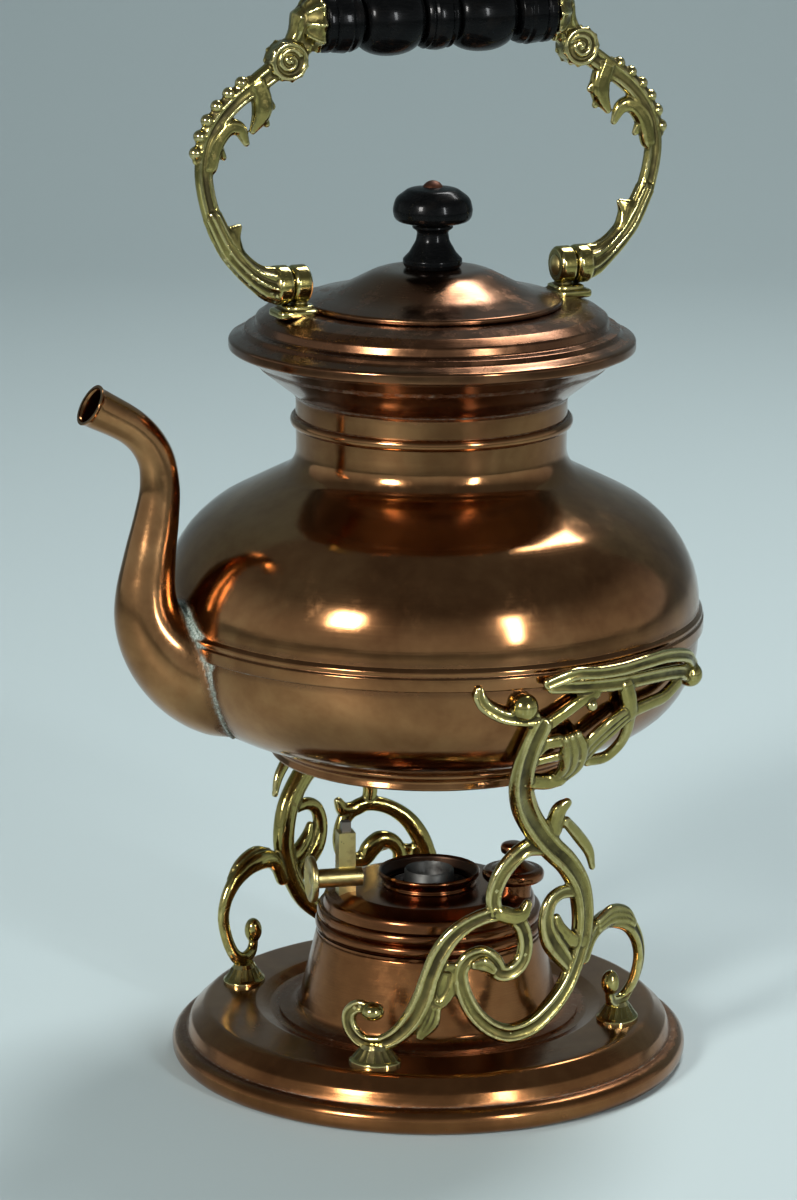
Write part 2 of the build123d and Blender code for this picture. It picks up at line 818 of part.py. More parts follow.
def hinge_pin(side):
    """Pin with a domed head on the inner side of the ear; it is fast in the arm and turns in the ear."""
    head = pivot_reach - ear_width / 2 - pin_end_gap
    end = pivot_reach + ear_width / 2 + ear_gap + pin_grip_depth
    pin = rod(pin_radius, head, end) + mirror(dome(pin_head_radius, pin_head_height, -head), Plane.XY)
    return at_side(side, Pos(0, 0, pivot_height) * along_x(pin))


def toward_front(point):
    return Vector(0, -1, 0)


def arm_points():
    hub_middle = pivot_reach + ear_width / 2 + ear_gap + hub_width / 2
    low = [(hub_middle, pivot_height), (hub_middle + 5.0, pivot_height + 1.2), (63.0, 265.6), (70.2, 273.6)]
    bow = [(75.6, 284.0), (78.2, 296.0), (77.2, 305.6), (73.4, 313.4), (67.2, 319.8), (59.0, 325.4)]
    high = [(50.6, 331.4), (45.4, 337.4), (41.2, grip_height)]
    return [Vector(x, 0, z) for x, z in low + bow + high]


def handle_arm(side):
    halves = [4.6, 4.2, 3.0, arm_half, arm_half, arm_half, arm_half, 2.9, 3.0, 3.2, 4.0, 5.0, 6.0]
    places = arm_points()
    arm = bar(places, halves, toward_front, arm_depth / arm_half)
    hub_start = pivot_reach + ear_width / 2 + ear_gap
    hub = Pos(0, 0, pivot_height) * along_x(rod(hub_radius, hub_start, hub_start + hub_width))
    ferrule = Pos(0, 0, grip_height) * along_x(rod(grip_collar_radius - 1.6, grip_length / 2, grip_length / 2 + rod_end))
    rosette = Pos(50.2, 0, 331.6) * Rot(90, 0, 0) * rod(rosette_radius, -3.4, 3.4)
    rosette += Pos(50.2, -3.2, 331.6) * Sphere(2.6) + Pos(50.2, 3.2, 331.6) * Sphere(2.6)
    arm += hub + rosette + ferrule
    arm -= Pos(0, 0, grip_height) * along_x(rod(2 * grip_ball_radius, 0, grip_length / 2))
    path = Spline(*places)
    start = path.param_at_point(places[5])
    end = path.param_at_point(places[9])
    for bead in range(arm_bead_count):
        along = start + (end - start) * bead / (arm_bead_count - 1)
        away = (path % along).cross(Vector(0, 1, 0)).normalized()
        if away.X < 0:
            away = away * -1
        centre = path @ along + away * (arm_half + 0.7)
        arm += Pos(centre.X, 0, centre.Z) * Sphere(arm_bead_radius)
    lower_spur = [(72.5, 279.0, 2.4), (69.6, 281.6, 2.2), (67.6, 285.4, 0.7)]
    upper_spur = [(77.0, 303.0, 2.2), (71.0, 307.6, 2.4), (66.0, 307.4, 1.9), (62.6, 303.0, 0.8)]
    leaf_drop = [(60.5, 324.6, 3.0), (57.0, 319.6, 2.8), (56.4, 314.0, 2.6), (59.0, 309.0, 0.9)]
    for spur in (lower_spur, upper_spur, leaf_drop):
        points = [Vector(x, 0, z) for x, z, half in spur]
        arm += bar(points, [half for x, z, half in spur], toward_front, 0.95)
    arm -= Pos(0, 0, pivot_height) * along_x(rod(pin_radius, hub_start - 1, hub_start + pin_grip_depth))
    arm -= Pos(0, 0, grip_height) * along_x(rod(rod_radius, 0, grip_length / 2 + rod_end + 6))
    return at_side(side, arm)


def grip_rod():
    reach = grip_length / 2 + rod_end + 1.2
    return Pos(0, 0, grip_height) * along_x(rod(rod_radius, -reach, reach))


def handle_grip():
    """Turned grip: a collar, a cove and a long ball on each side of the ring in the middle."""
    half = grip_length / 2
    side = [
        (grip_collar_radius - 1.2, -half),
        (grip_collar_radius, 3.6 - half),
        (grip_collar_radius - 0.9, 5.0 - half),
        (grip_collar_radius + 0.4, 8.6 - half),
        (grip_collar_radius - 2.7, 13.4 - half),
        (grip_ball_radius + 0.2, 16.6 - half),
        (grip_ball_radius + 0.2, 30.0 - half),
        (grip_collar_radius - 2.7, 33.6 - half),
        (grip_ring_radius, 36.2 - half),
    ]
    rounds = [1.0, 0.5, 1.2, 0.8, 5.4, 5.4, 0.8, 1.6]
    other = [(radius, -along) for radius, along in reversed(side)]
    line = FilletPolyline(*side, *other, radius=rounds + rounds[::-1])
    bore = rod_radius + rod_gap
    core = Polyline(line @ 1, (bore, half), (bore, -half), line @ 0)
    grip = revolve(Plane.XZ * make_face(line + core), Axis.Z)
    return Pos(0, 0, grip_height) * along_x(grip)


pieces = {
    "base_plate": base_plate(),
    "burner_well": burner_well(),
    "bracket_front": placed_casting(-1),
    "bracket_back": placed_casting(1),
    "bracket_feet": bracket_feet(),
    "foot_screws": foot_screws(),
    "burner_font": burner_font(),
    "burner_cover": burner_cover(),
    "burner_collar": burner_collar(),
    "draught_tube": draught_tube(),
    "wick": wick(),
    "wick_carrier": wick_carrier(),
    "wick_rack": wick_rack(),
    "raiser_guide": raiser_guide(),
    "pinion_spindle": pinion_spindle(),
    "spindle_bush": spindle_bush(),
    "thumb_wheel": thumb_wheel(),
    "filler_neck": filler_neck(),
    "filler_cap": filler_cap(),
    "filler_knob": filler_knob(),
    "kettle_lower_body": kettle_lower_body(),
    "kettle_upper_body": kettle_upper_body(),
    "bead_ring": bead_ring(),
    "kettle_foot_ring": kettle_foot_ring(),
    "neck_ring": neck_ring(),
    "rim_collar": rim_collar(),
    "spout": spout(),
    "lid_shell": lid_shell(),
    "lid_sleeve": lid_sleeve(),
    "lid_knob": lid_knob(),
    "knob_stud": knob_stud(),
    "knob_nut": knob_nut(),
    "lug_left": lug(-1),
    "lug_right": lug(1),
    "hinge_pin_left": hinge_pin(-1),
    "hinge_pin_right": hinge_pin(1),
    "handle_arm_left": handle_arm(-1),
    "handle_arm_right": handle_arm(1),
    "handle_grip": handle_grip(),
    "grip_rod": grip_rod(),
}

os.makedirs("parts", exist_ok=True)
for name, shape in pieces.items():
    export_step(shape, f"parts/{name}.step")
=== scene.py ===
"""The looks of a copper spirit kettle on its brass scroll stand.

Shapes are worked out in millimetres in the part's frame: +Z up, the spout along -X, castings at -Y and +Y.
"""

import json
from functools import cached_property
from math import acos, ceil, cos, degrees, hypot, pi, radians, sin, tan

import bpy
import numpy as np
from mathutils import Matrix, Vector, noise
from numpy import array, vstack
from numpy.linalg import norm


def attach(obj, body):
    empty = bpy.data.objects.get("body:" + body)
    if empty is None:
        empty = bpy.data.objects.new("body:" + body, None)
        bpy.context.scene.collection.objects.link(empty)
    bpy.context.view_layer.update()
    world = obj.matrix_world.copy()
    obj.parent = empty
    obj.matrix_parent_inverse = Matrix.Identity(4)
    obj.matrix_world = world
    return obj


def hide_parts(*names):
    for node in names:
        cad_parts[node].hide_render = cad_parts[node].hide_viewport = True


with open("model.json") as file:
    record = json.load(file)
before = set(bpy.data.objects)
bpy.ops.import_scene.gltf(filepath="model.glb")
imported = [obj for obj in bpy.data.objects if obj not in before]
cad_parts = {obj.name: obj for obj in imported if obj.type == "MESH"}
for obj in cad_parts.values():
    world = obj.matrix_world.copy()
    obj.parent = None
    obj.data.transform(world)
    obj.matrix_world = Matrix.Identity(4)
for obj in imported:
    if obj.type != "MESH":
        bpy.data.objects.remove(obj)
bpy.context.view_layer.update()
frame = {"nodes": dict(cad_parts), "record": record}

MM = 0.001
on_axis = 0.01

# Stand
base_radius = 85.0
base_wall = 0.9
base_edge_height = 8.2
rest_ring_inner = 78.5
land_radius = 74.0
foot_land_height = 17.0
valley_height = 15.4
base_hole_radius = 40.0
foot_circle = 64.5
foot_angle = 44.5
foot_height = 5.0
foot_length = 17.0
foot_width = 13.6
foot_flutes = 16
stand_turn = 4.8
flare_start = 86.0
flare_end = 139.0
cradle_radius = 89.5
casting_depth = 0.8
casting_swell = 0.3

# Burner
well_foot_radius = 49.5
well_root_radius = 43.4
well_top_radius = 37.3
well_top_height = 42.0
cover_low = 42.8
cover_radius = 36.2
cover_top = 57.4
cover_bead_gap = 0.2
cover_middle_bead = 46.7
cover_upper_bead = 50.7
collar_waist_radius = 15.2
collar_radius = 16.8
collar_top = 62.3
draught_radius = 8.2
draught_low = 19.2
filler_angle = -33.7
filler_place_radius = 28.0
filler_neck_top = 60.0
filler_neck_low = 54.6
filler_neck_radius = 6.0
raiser_angle = 169.5
raiser_radius = 28.3
spindle_offset = 3.14
spindle_height = 62.3
wheel_radius = 7.7
wheel_reach = 12.0

# Kettle
body_radius = 87.0
kettle_wall = 1.0
seam_height = 153.5
kettle_floor_height = 110.0
kettle_floor_radius = 53.0
belly_corner_height = 121.0
shoulder_corner_height = 177.2
neck_corner_height = 199.2
foot_ring_height = 104.0
bead_bottom = 146.0
neck_radius = 43.6
neck_top = 222.0
neck_ring_height = 213.8
rim_radius = 65.2
rim_height = 240.5
step_radius = 56.6
seat_height = 251.2
mouth_radius = 38.5
lid_radius = 41.6
knob_low = seat_height + 12.0
crust_reach = 5.0
crust_top_height = 163.0

# Bail
pivot_reach = 46.4
pivot_height = 260.8
ear_width = 5.8
ear_gap = 0.35
grip_height = 343.0
grip_length = 80.0
rosette_place = (50.4, 331.4)
rosette_radius = 6.2

# Photograph
view_turn = radians(24.5)

# Outlines


def rounded(points, rounds, step=7.0):
    """Outline whose corners are arcs of the given radii, with a point every few degrees."""
    line = [array(points[0], float)]
    for before, corner, after, radius in zip(points, points[1:], points[2:], rounds):
        at = array(corner, float)
        back = array(before, float) - at
        onward = array(after, float) - at
        back /= norm(back)
        onward /= norm(onward)
        turn = pi - acos(max(-1.0, min(1.0, float(back @ onward))))
        if radius <= 0 or turn < 0.01:
            line.append(at)
            continue
        start = at + back * radius * tan(turn / 2)
        middle = back + onward
        centre = at + middle / norm(middle) * radius / cos(turn / 2)
        spoke = start - centre
        side = 1 if back[1] * onward[0] - back[0] * onward[1] > 0 else -1
        pieces = max(2, ceil(degrees(turn) / step))
        for index in range(pieces + 1):
            angle = side * turn * index / pieces
            spin = array([[cos(angle), -sin(angle)], [sin(angle), cos(angle)]])
            line.append(centre + spin @ spoke)
    line.append(array(points[-1], float))
    return array(line)


def finer(line, longest=2.5):
    """The same outline with no stretch longer than longest."""
    made = [line[0]]
    for start, end in zip(line, line[1:]):
        count = max(1, ceil(norm(end - start) / longest))
        for index in range(1, count + 1):
            made.append(start + (end - start) * index / count)
    return array(made)


def inset(line, wall):
    """The outline moved to its left by wall, without the folds that tight corners would make."""
    ahead = np.gradient(line, axis=0)
    ahead /= norm(ahead, axis=1)[:, None]
    moved = line + np.stack([-ahead[:, 1], ahead[:, 0]], 1) * wall
    clear = [norm(line - spot, axis=1).min() > 0.93 * wall for spot in moved]
    return moved[array(clear)]


def sheet(points, rounds, wall):
    """Closed section of a spun sheet: its outer side and, a wall to its left, its inner side."""
    return walled(rounded(points, rounds), wall)


def walled(line, wall):
    outer = finer(line)
    return vstack([outer, inset(outer, wall)[::-1]])


def corner(radius, height, *steps):
    """Outline points that lie these steps outward and upward from one place."""
    return [(radius + out, height + up) for out, up in steps]


def smooth_line(points, step):
    """Smooth curve through rows of numbers; the first three of a row are a place, and places set the step."""
    rows = array(points, float)
    rows = vstack([2 * rows[0] - rows[1], rows, 2 * rows[-1] - rows[-2]])
    made = []
    for index in range(1, len(rows) - 2):
        a, b, c, d = rows[index - 1:index + 3]
        count = max(2, ceil(norm(c[:3] - b[:3]) / step))
        for t in np.arange(count) / count:
            made.append(0.5 * (2 * b + (c - a) * t + (2 * a - 5 * b + 4 * c - d) * t * t
                               + (3 * b - 3 * c + d - a) * t * t * t))
    made.append(rows[-2])
    return array(made)


# Meshes


slots = {part["node"]: part["material_slot"] for part in frame["record"]["subparts"]}
bodies = {node: body for body, nodes in frame["record"]["behaviour"]["bodies"].items() for node in nodes}


def wobble(places, size):
    """Slight unevenness of beaten sheet: how far each place stands proud, in millimetres."""
    return array([size * noise.noise(Vector(place) / 31.0) + size * 0.4 * noise.noise(Vector(place) / 11.0)
                     for place in places])


def new_object(name, data):
    made = bpy.data.objects.new(name, data)
    bpy.context.scene.collection.objects.link(made)
    return made


def mesh_piece(name, places, faces, material, node, at=None, replaces=True, sharp=40.0, grime_and_shade=None):
    """A piece with the body of a CAD node, which it replaces or only goes with.

    at is a matrix that moves it; the last argument is a function of a place in millimetres that gives its
    crust, stains, painted seam shadow and near-black inside.
    """
    if at is not None:
        places = array([at @ Vector(place) for place in places])
    mesh = bpy.data.meshes.new(name)
    mesh.from_pydata([tuple(place * MM) for place in places], [], faces)
    mesh.validate()
    mesh.shade_smooth()
    if sharp:
        mesh.set_sharp_from_angle(angle=radians(sharp))
    mesh.materials.append(material)
    if grime_and_shade:
        layer = mesh.attributes.new("grime_and_shade", "FLOAT", "POINT")
        layer.data.foreach_set("value", [grime_and_shade(vertex.co / MM) for vertex in mesh.vertices])
    piece = new_object(name, mesh)
    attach(piece, bodies[node])
    if replaces:
        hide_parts(node)
    return piece


def joined(parts):
    """Places and faces of several forms as one."""
    places, faces = [], []
    for part_places, part_faces in parts:
        start = len(places)
        places.extend(part_places)
        faces.extend([tuple(start + corner for corner in face) for face in part_faces])
    return array(places), faces


def grid_faces(rows, columns, close_rows=False, flip=False):
    """Quads of a grid of places whose columns go round, and its rows too where asked."""
    faces = []
    for row in range(rows if close_rows else rows - 1):
        for column in range(columns):
            a = row * columns + column
            b = row * columns + (column + 1) % columns
            c = (row + 1) % rows * columns + (column + 1) % columns
            d = (row + 1) % rows * columns + column
            faces.append((a, d, c, b) if flip else (a, b, c, d))
    return faces


def turned_places(section, turns, ripple=None):
    """Rings of places round the Z axis for a section of (radius, height)."""
    places = []
    for radius, height in section:
        for index in range(turns):
            angle = 2 * pi * index / turns
            reach = radius * (1 + ripple(angle, radius, height)) if ripple else radius
            places.append((reach * cos(angle), reach * sin(angle), height))
    return array(places)


def turned(name, section, material, node, at=None, uneven=0.0, turns=192, grime_and_shade=None):
    """Piece turned about the Z axis; its section is closed unless it starts on the axis."""
    places = turned_places(section, turns)
    if uneven:
        outward = places * array([1.0, 1.0, 0.0])
        outward /= np.maximum(norm(outward, axis=1), 1e-6)[:, None]
        places = places + outward * wobble(places, uneven)[:, None]
    faces = grid_faces(len(section), turns, section[0][0] > on_axis)
    mesh_piece(name, places, faces, material, node, at, grime_and_shade=grime_and_shade)


def run_in(line):
    """The same outline with both ends run in to the axis."""
    return vstack([[(on_axis, line[0][1])], line, [(on_axis, line[-1][1])]])


def solid_section(points, rounds, step):
    """Section of a solid turned piece."""
    return run_in(finer(rounded(points, rounds, step)))


def about_x(points, rounds, sides, height, ripple=None):
    """Closed form about a line along X at that height, from an outline of (radius, x)."""
    section = solid_section(points, rounds, 20)
    places = turned_places(section, sides, ripple)
    places = np.stack([places[:, 2], places[:, 1], height - places[:, 0]], 1)
    faces = grid_faces(len(section), sides)
    faces.append(tuple(range(sides))[::-1])
    faces.append(tuple(range(len(places) - sides, len(places))))
    return places, faces


def soft_corner(value, power):
    return abs(value) ** power * (1 if value > 0 else -1)


def sweep(line, outward, groove=0.0, depth=casting_depth, sides=18, least=1.1, round_ends=True, power=1.0,
          flutes=0, back=0.0):
    """Bar along rows of (x, y, z, half width); groove and back are channels along it.

    outward is the direction that it faces, or a function that gives it for a place.
    """
    centres = line[:, :3]
    halves = line[:, 3]
    ahead = np.gradient(centres, axis=0)
    ahead /= norm(ahead, axis=1)[:, None]
    rings = []
    for centre, half, along in zip(centres, halves, ahead):
        across = np.cross(along, outward(centre) if callable(outward) else outward)
        across /= norm(across)
        rings.append((centre, half, along, across, np.cross(across, along)))
    if round_ends:
        rings = rounded_end(rings[0], -1)[::-1] + rings + rounded_end(rings[-1], 1)
    places = []
    for centre, half, along, across, out in rings:
        thick = max(half * depth, min(least, half))
        for index in range(sides):
            angle = 2 * pi * index / sides
            u = half * soft_corner(cos(angle), power)
            v = thick * soft_corner(sin(angle), power)
            v -= (groove if v > 0 else -back) * thick * np.exp(-((u / (0.45 * half + 1e-6)) ** 2))
            flute = 1 + 0.13 * cos(flutes * angle) if flutes else 1.0
            places.append(centre + (across * u + out * v) * flute)
    faces = grid_faces(len(rings), sides, flip=True)
    faces.append(tuple(range(sides)))
    last = (len(rings) - 1) * sides
    faces.append(tuple(range(last, last + sides))[::-1])
    return array(places), faces


def rounded_end(ring, way):
    """Three more rings that close a bar with a round end."""
    centre, half, along, across, out = ring
    return [(centre + along * way * half * 0.8 * sin(angle), half * cos(angle), along, across, out)
            for angle in (0.6, 1.1, 1.45)]


def ball(centre, radius, squash=(1, 1, 1), rows=12, columns=20, power=1.0):
    """Ball, squashed along the axes; a power below 1 makes it boxy."""
    spots = [(0, 0, -1.0)]
    for row in range(1, rows):
        lift = -pi / 2 + pi * row / rows
        level = soft_corner(cos(lift), power)
        for column in range(columns):
            turn = 2 * pi * column / columns
            spots.append((level * soft_corner(cos(turn), power), level * soft_corner(sin(turn), power),
                          soft_corner(sin(lift), power)))
    spots.append((0, 0, 1.0))
    places = array(centre) + radius * array(spots) * array(squash)
    faces = [tuple(1 + corner for corner in face) for face in grid_faces(rows - 1, columns)]
    last = len(places) - 1
    for column in range(columns):
        following = (column + 1) % columns
        faces.append((0, 1 + following, 1 + column))
        faces.append((last, last - columns + column, last - columns + following))
    return places, faces


def cast_piece(name, parts, node, voxel=0.38, soften=2, at=None):
    """Joins overlapping closed forms into one brass skin, as a casting has, and softens it a little."""
    piece = mesh_piece(name, *joined(parts), brass, node, at, sharp=None)
    remesh = piece.modifiers.new("skin", "REMESH")
    remesh.mode = "VOXEL"
    remesh.voxel_size = voxel * MM
    remesh.use_smooth_shade = True
    soft = piece.modifiers.new("soft", "SMOOTH")
    soft.factor = 0.5
    soft.iterations = soften
    graph = bpy.context.evaluated_depsgraph_get()
    skin = bpy.data.meshes.new_from_object(piece.evaluated_get(graph))
    piece.modifiers.clear()
    piece.data = skin
    skin.name = name
    skin.shade_smooth()


# Materials


class Look:
    """A material, or another owner of nodes, with short ways to add them; a value may be a socket."""

    def __init__(self, owner):
        owner.use_nodes = True
        self.owner = owner
        self.tree = owner.node_tree

    def plug(self, socket, value):
        if isinstance(value, bpy.types.NodeSocket):
            self.tree.links.new(value, socket)
        else:
            socket.default_value = value

    def finished(self, **values):
        """The owner, with these values on its shader; _ in a name stands for a space."""
        shader = self.tree.nodes["Principled BSDF"]
        for name, value in values.items():
            self.plug(shader.inputs[name.replace("_", " ")], value)
        return self.owner

    def add(self, kind, settings=(), **inputs):
        """Adds a node; settings are its own values."""
        made = self.tree.nodes.new("ShaderNode" + kind)
        for key, value in dict(settings).items():
            setattr(made, key, value)
        for key, value in inputs.items():
            self.plug(made.inputs[key], value)
        return made

    @cached_property
    def here(self):
        """Place on the piece in millimetres."""
        place = self.add("TexCoord").outputs["Object"]
        return self.add("VectorMath", {"operation": "SCALE"}, Vector=place, Scale=1 / MM).outputs[0]

    @cached_property
    def rings(self):
        """(distance from the Z axis, 0, height): a noise of it runs in rings round a turned piece."""
        x, y, z = self.add("SeparateXYZ", Vector=self.here).outputs
        across = self.math("SQRT", self.total((x, x), (y, y)))
        return self.add("CombineXYZ", X=across, Y=0.0, Z=z).outputs[0]

    def math(self, operation, *values):
        made = self.add("Math", {"operation": operation})
        for socket, value in zip(made.inputs, values):
            self.plug(socket, value)
        return made.outputs[0]

    def total(self, first, *others):
        """Sum of values; a pair is a value and its share."""
        made = self.times(*first) if isinstance(first, tuple) else first
        for term in others:
            made = self.math("ADD", made, self.times(*term) if isinstance(term, tuple) else term)
        return made

    def times(self, first, second):
        return self.math("MULTIPLY", first, second)

    def cloud(self, per_mm, detail=3.0, rough=0.55, distort=0.0, where=None):
        place = self.here if where is None else where
        made = self.add("TexNoise", Vector=place, Scale=per_mm, Detail=detail, Roughness=rough,
                        Distortion=distort)
        return made.outputs["Fac"]

    def ramp(self, value, stops):
        """Colours at places along 0 to 1."""
        made = self.add("ValToRGB", Fac=value)
        elements = made.color_ramp.elements
        while len(elements) < len(stops):
            elements.new(0.5)
        for element, (spot, colour) in zip(elements, stops):
            element.position = spot
            element.color = (*colour, 1.0)
        return made.outputs["Color"]

    def grade(self, value, low, high, to_low=0.0, to_high=1.0):
        """Value carried from low..high to to_low..to_high, and held there."""
        ends = {"From Min": low, "From Max": high, "To Min": to_low, "To Max": to_high}
        return self.add("MapRange", {"clamp": True}, Value=value, **ends).outputs["Result"]

    def blend(self, share, first, second):
        """Two colours mixed; the first is a socket."""
        made = self.add("Mix", {"data_type": "RGBA"})
        if not isinstance(second, bpy.types.NodeSocket):
            second = (*second, 1.0)
        for index, value in ((0, share), (6, first), (7, second)):
            self.plug(made.inputs[index], value)
        return made.outputs[2]

    def raised(self, height, distance, strength=1.0, under=None):
        """Bump whose height is worth distance in millimetres."""
        made = self.add("Bump", Strength=strength, Distance=distance * MM, Height=height)
        if under is not None:
            self.plug(made.inputs["Normal"], under)
        return made.outputs["Normal"]


def new_look(name):
    return Look(bpy.data.materials.new(name))


def copper(name, dark, middle, light, gloss, dull=0.12, turned_marks=True):
    """Aged copper: brown patches and faint marks of turning. The attribute painted on the mesh, where high,
    is a crust; middle values darken it as stains and as painted seam shadow; below 0 it turns near black.
    """
    look = new_look(name)
    patches = look.cloud(0.022, 5.0, 0.62, 0.6)
    mottle = look.cloud(0.16, 4.0, 0.6)
    tone = look.total((patches, 0.75), (mottle, 0.25))
    grime_and_shade = look.add("Attribute", {"attribute_name": "grime_and_shade"}).outputs["Fac"]
    fleck = look.cloud(0.55, 6.0, 0.7)
    crusted = look.grade(look.total(grime_and_shade, (fleck, 0.55)), 0.72, 0.98)
    # Middle values darken it: real stains, and painted shadow along the seam lines of the belly.
    stain_and_shade = look.grade(look.total(grime_and_shade, (mottle, 0.5)), 0.35, 0.85)
    # Below 0 it turns near black; used on the inner wall of the flame collar.
    inside_black = look.grade(grime_and_shade, 0.0, -1.0)
    worst = look.math("MAXIMUM", stain_and_shade, inside_black)
    colour = look.ramp(tone, [(0.28, dark), (0.50, middle), (0.72, light)])
    colour = look.blend(look.times(stain_and_shade, 0.75), colour, (0.085, 0.042, 0.026))
    chalk = look.ramp(look.cloud(1.3, 4.0, 0.7), [(0.38, (0.07, 0.10, 0.085)), (0.58, (0.37, 0.43, 0.38))])
    colour = look.blend(crusted, colour, chalk)
    marks = look.cloud(1.9, 2.0, 0.6, where=look.rings) if turned_marks else look.cloud(1.2, 2.0, 0.6)
    spots = look.grade(look.cloud(0.09, 7.0, 0.7), 0.5, 0.72)
    bumps = look.raised(look.cloud(2.2, 3.0, 0.7), 0.012, 0.6, look.raised(marks, 0.012))
    return look.finished(
        Base_Color=look.blend(inside_black, colour, (0.016, 0.013, 0.011)),
        Metallic=look.math("SUBTRACT", 1.0, look.times(crusted, 0.9)),
        Roughness=look.total((marks, 0.10), (spots, dull), gloss - 0.05, (worst, 0.25)),
        Normal=look.raised(crusted, 0.25, 0.7, bumps),
    )


def cast_brass(name, bright, deep, gloss):
    """Cast brass, polished on its high parts and blackened in its hollows."""
    look = new_look(name)
    sharpness = look.add("NewGeometry").outputs["Pointiness"]
    grain = look.cloud(0.35, 5.0, 0.65)
    patch = look.cloud(0.06, 3.0, 0.6)
    level = look.total(sharpness, (look.math("SUBTRACT", grain, 0.5), 0.02))
    hollow = look.times(look.grade(level, 0.504, 0.495), look.grade(patch, 0.35, 0.6, 0.3, 1.0))
    crest = look.grade(level, 0.513, 0.523)
    stain = look.grade(look.cloud(0.22, 6.0, 0.7), 0.60, 0.72)
    tone = look.ramp(patch, [(0.3, tuple(c * 0.72 for c in bright)), (0.7, bright)])
    colour = look.blend(look.times(crest, 0.6), tone, (0.68, 0.59, 0.29))
    colour = look.blend(hollow, colour, deep)
    bumps = look.raised(look.cloud(0.3, 2.0, 0.5), 0.16, 0.8)
    return look.finished(
        Base_Color=look.blend(look.times(stain, 0.55), colour, (0.20, 0.13, 0.05)),
        Metallic=1.0,
        Roughness=look.total((hollow, 0.35), (grain, 0.12), (stain, 0.2), gloss - 0.1),
        Normal=look.raised(look.cloud(2.5, 2.0, 0.6), 0.012, 0.6, bumps),
    )


def plain_metal(name, light, dark, gloss):
    """Turned or drawn metal with fine marks and small stains."""
    look = new_look(name)
    mottle = look.cloud(0.16, 4.0)
    return look.finished(
        Base_Color=look.ramp(mottle, [(0.30, dark), (0.52, light)]),
        Metallic=1.0,
        Roughness=look.grade(mottle, 0.3, 0.7, gloss + 0.2, gloss),
        Normal=look.raised(look.cloud(2.0, 3.0, 0.6), 0.012),
    )


def black_wood(name):
    """Turned wood, blackened and polished, with a faint grain along X and worn spots."""
    look = new_look(name)
    squeezed = look.add("Mapping", Vector=look.here, Scale=(0.12, 1.0, 1.0)).outputs[0]
    grain = look.cloud(1.6, 4.0, 0.6, where=squeezed)
    worn = look.grade(look.cloud(0.12, 5.0, 0.7), 0.55, 0.8)
    colour = look.ramp(grain, [(0.3, (0.0015, 0.0017, 0.0018)), (0.7, (0.0032, 0.0033, 0.0034))])
    return look.finished(
        Base_Color=look.blend(look.times(worn, 0.5), colour, (0.012, 0.009, 0.007)),
        Specular_IOR_Level=0.04,
        Roughness=look.grade(grain, 0.2, 0.8, 0.2, 0.32),
        Coat_Weight=0.1,
        Coat_Roughness=0.08,
        Normal=look.raised(grain, 0.03, 0.5),
    )


def woven_wick(name):
    """Charred cotton plait: small diagonal checks."""
    look = new_look(name)
    weave = look.add("TexVoronoi", Vector=look.here, Scale=1.1).outputs["Distance"]
    char = look.cloud(0.5, 4.0)
    return look.finished(
        Base_Color=look.ramp(char, [(0.35, (0.008, 0.008, 0.008)), (0.7, (0.035, 0.032, 0.028))]),
        Roughness=0.95,
        Normal=look.raised(weave, 0.5),
    )


body_copper = copper("body_copper", (0.17, 0.07, 0.028), (0.29, 0.137, 0.056), (0.42, 0.225, 0.096), 0.125)
lid_copper = copper("lid_copper", (0.1, 0.042, 0.021), (0.175, 0.08, 0.038), (0.27, 0.135, 0.063), 0.15, 0.16)
spout_copper = copper("spout_copper", (0.19, 0.085, 0.034), (0.33, 0.165, 0.068), (0.46, 0.26, 0.115), 0.16,
                      turned_marks=False)
dish_copper = copper("dish_copper", (0.16, 0.062, 0.023), (0.27, 0.115, 0.042), (0.38, 0.18, 0.07), 0.17)
burner_copper = copper("burner_copper", (0.11, 0.042, 0.018), (0.22, 0.088, 0.035), (0.36, 0.155, 0.065),
                       0.17)
brass = cast_brass("cast_brass", (0.40, 0.335, 0.108), (0.060, 0.050, 0.022), gloss=0.19)
turned_brass = plain_metal("turned_brass", (0.50, 0.41, 0.17), (0.22, 0.17, 0.07), 0.24)
dark_iron = plain_metal("dark_iron", (0.17, 0.15, 0.13), (0.05, 0.045, 0.04), 0.4)
steel = plain_metal("screw_steel", (0.5, 0.5, 0.48), (0.3, 0.28, 0.26), 0.3)
stud_copper = plain_metal("stud_copper", (0.10, 0.040, 0.023), (0.05, 0.022, 0.015), 0.38)
sooty_metal = plain_metal("sooty_metal", (0.085, 0.085, 0.08), (0.025, 0.022, 0.02), 0.42)
wood = black_wood("black_wood")
cotton = woven_wick("wick_cotton")


def near(value, target, width):
    return max(0.0, 1.0 - abs(value - target) / width)


# Stand: dish and well


def make_dish():
    outline = [
        (rest_ring_inner, 0), (base_radius, 0), (base_radius, base_edge_height),
        *corner(base_radius, base_edge_height, (-4.6, 0), (-6.2, 4.2)),
        (land_radius, foot_land_height), (foot_circle - 7.5, foot_land_height),
        (well_foot_radius + 3.0, valley_height), (base_hole_radius, valley_height),
    ]
    section = sheet(outline, [3.6, 3.6, 0.5, 3.0, 3.6, 2.0, 2.0], base_wall)
    edge = base_edge_height + 0.2
    turned("base_dish", section, dish_copper, "base_plate", uneven=0.12, turns=256,
           grime_and_shade=lambda p: max(near(p.z, edge, 1.2), near(hypot(p.x, p.y), well_foot_radius + 1, 3.0)) * 0.5)
    low = valley_height + 0.8
    top = corner(well_top_radius, well_top_height, (0, 0), (-1.9, 0))
    section = sheet([(well_foot_radius, low), (well_root_radius, low), *top], [3.6, 0.9], 0.8)
    turned("well_drum", section, dish_copper, "burner_well", uneven=0.15,
           grime_and_shade=lambda p: near(p.z, 16, 3.0) * 0.45 + near(p.z, well_top_height + 0.2, 1.5) * 0.3)


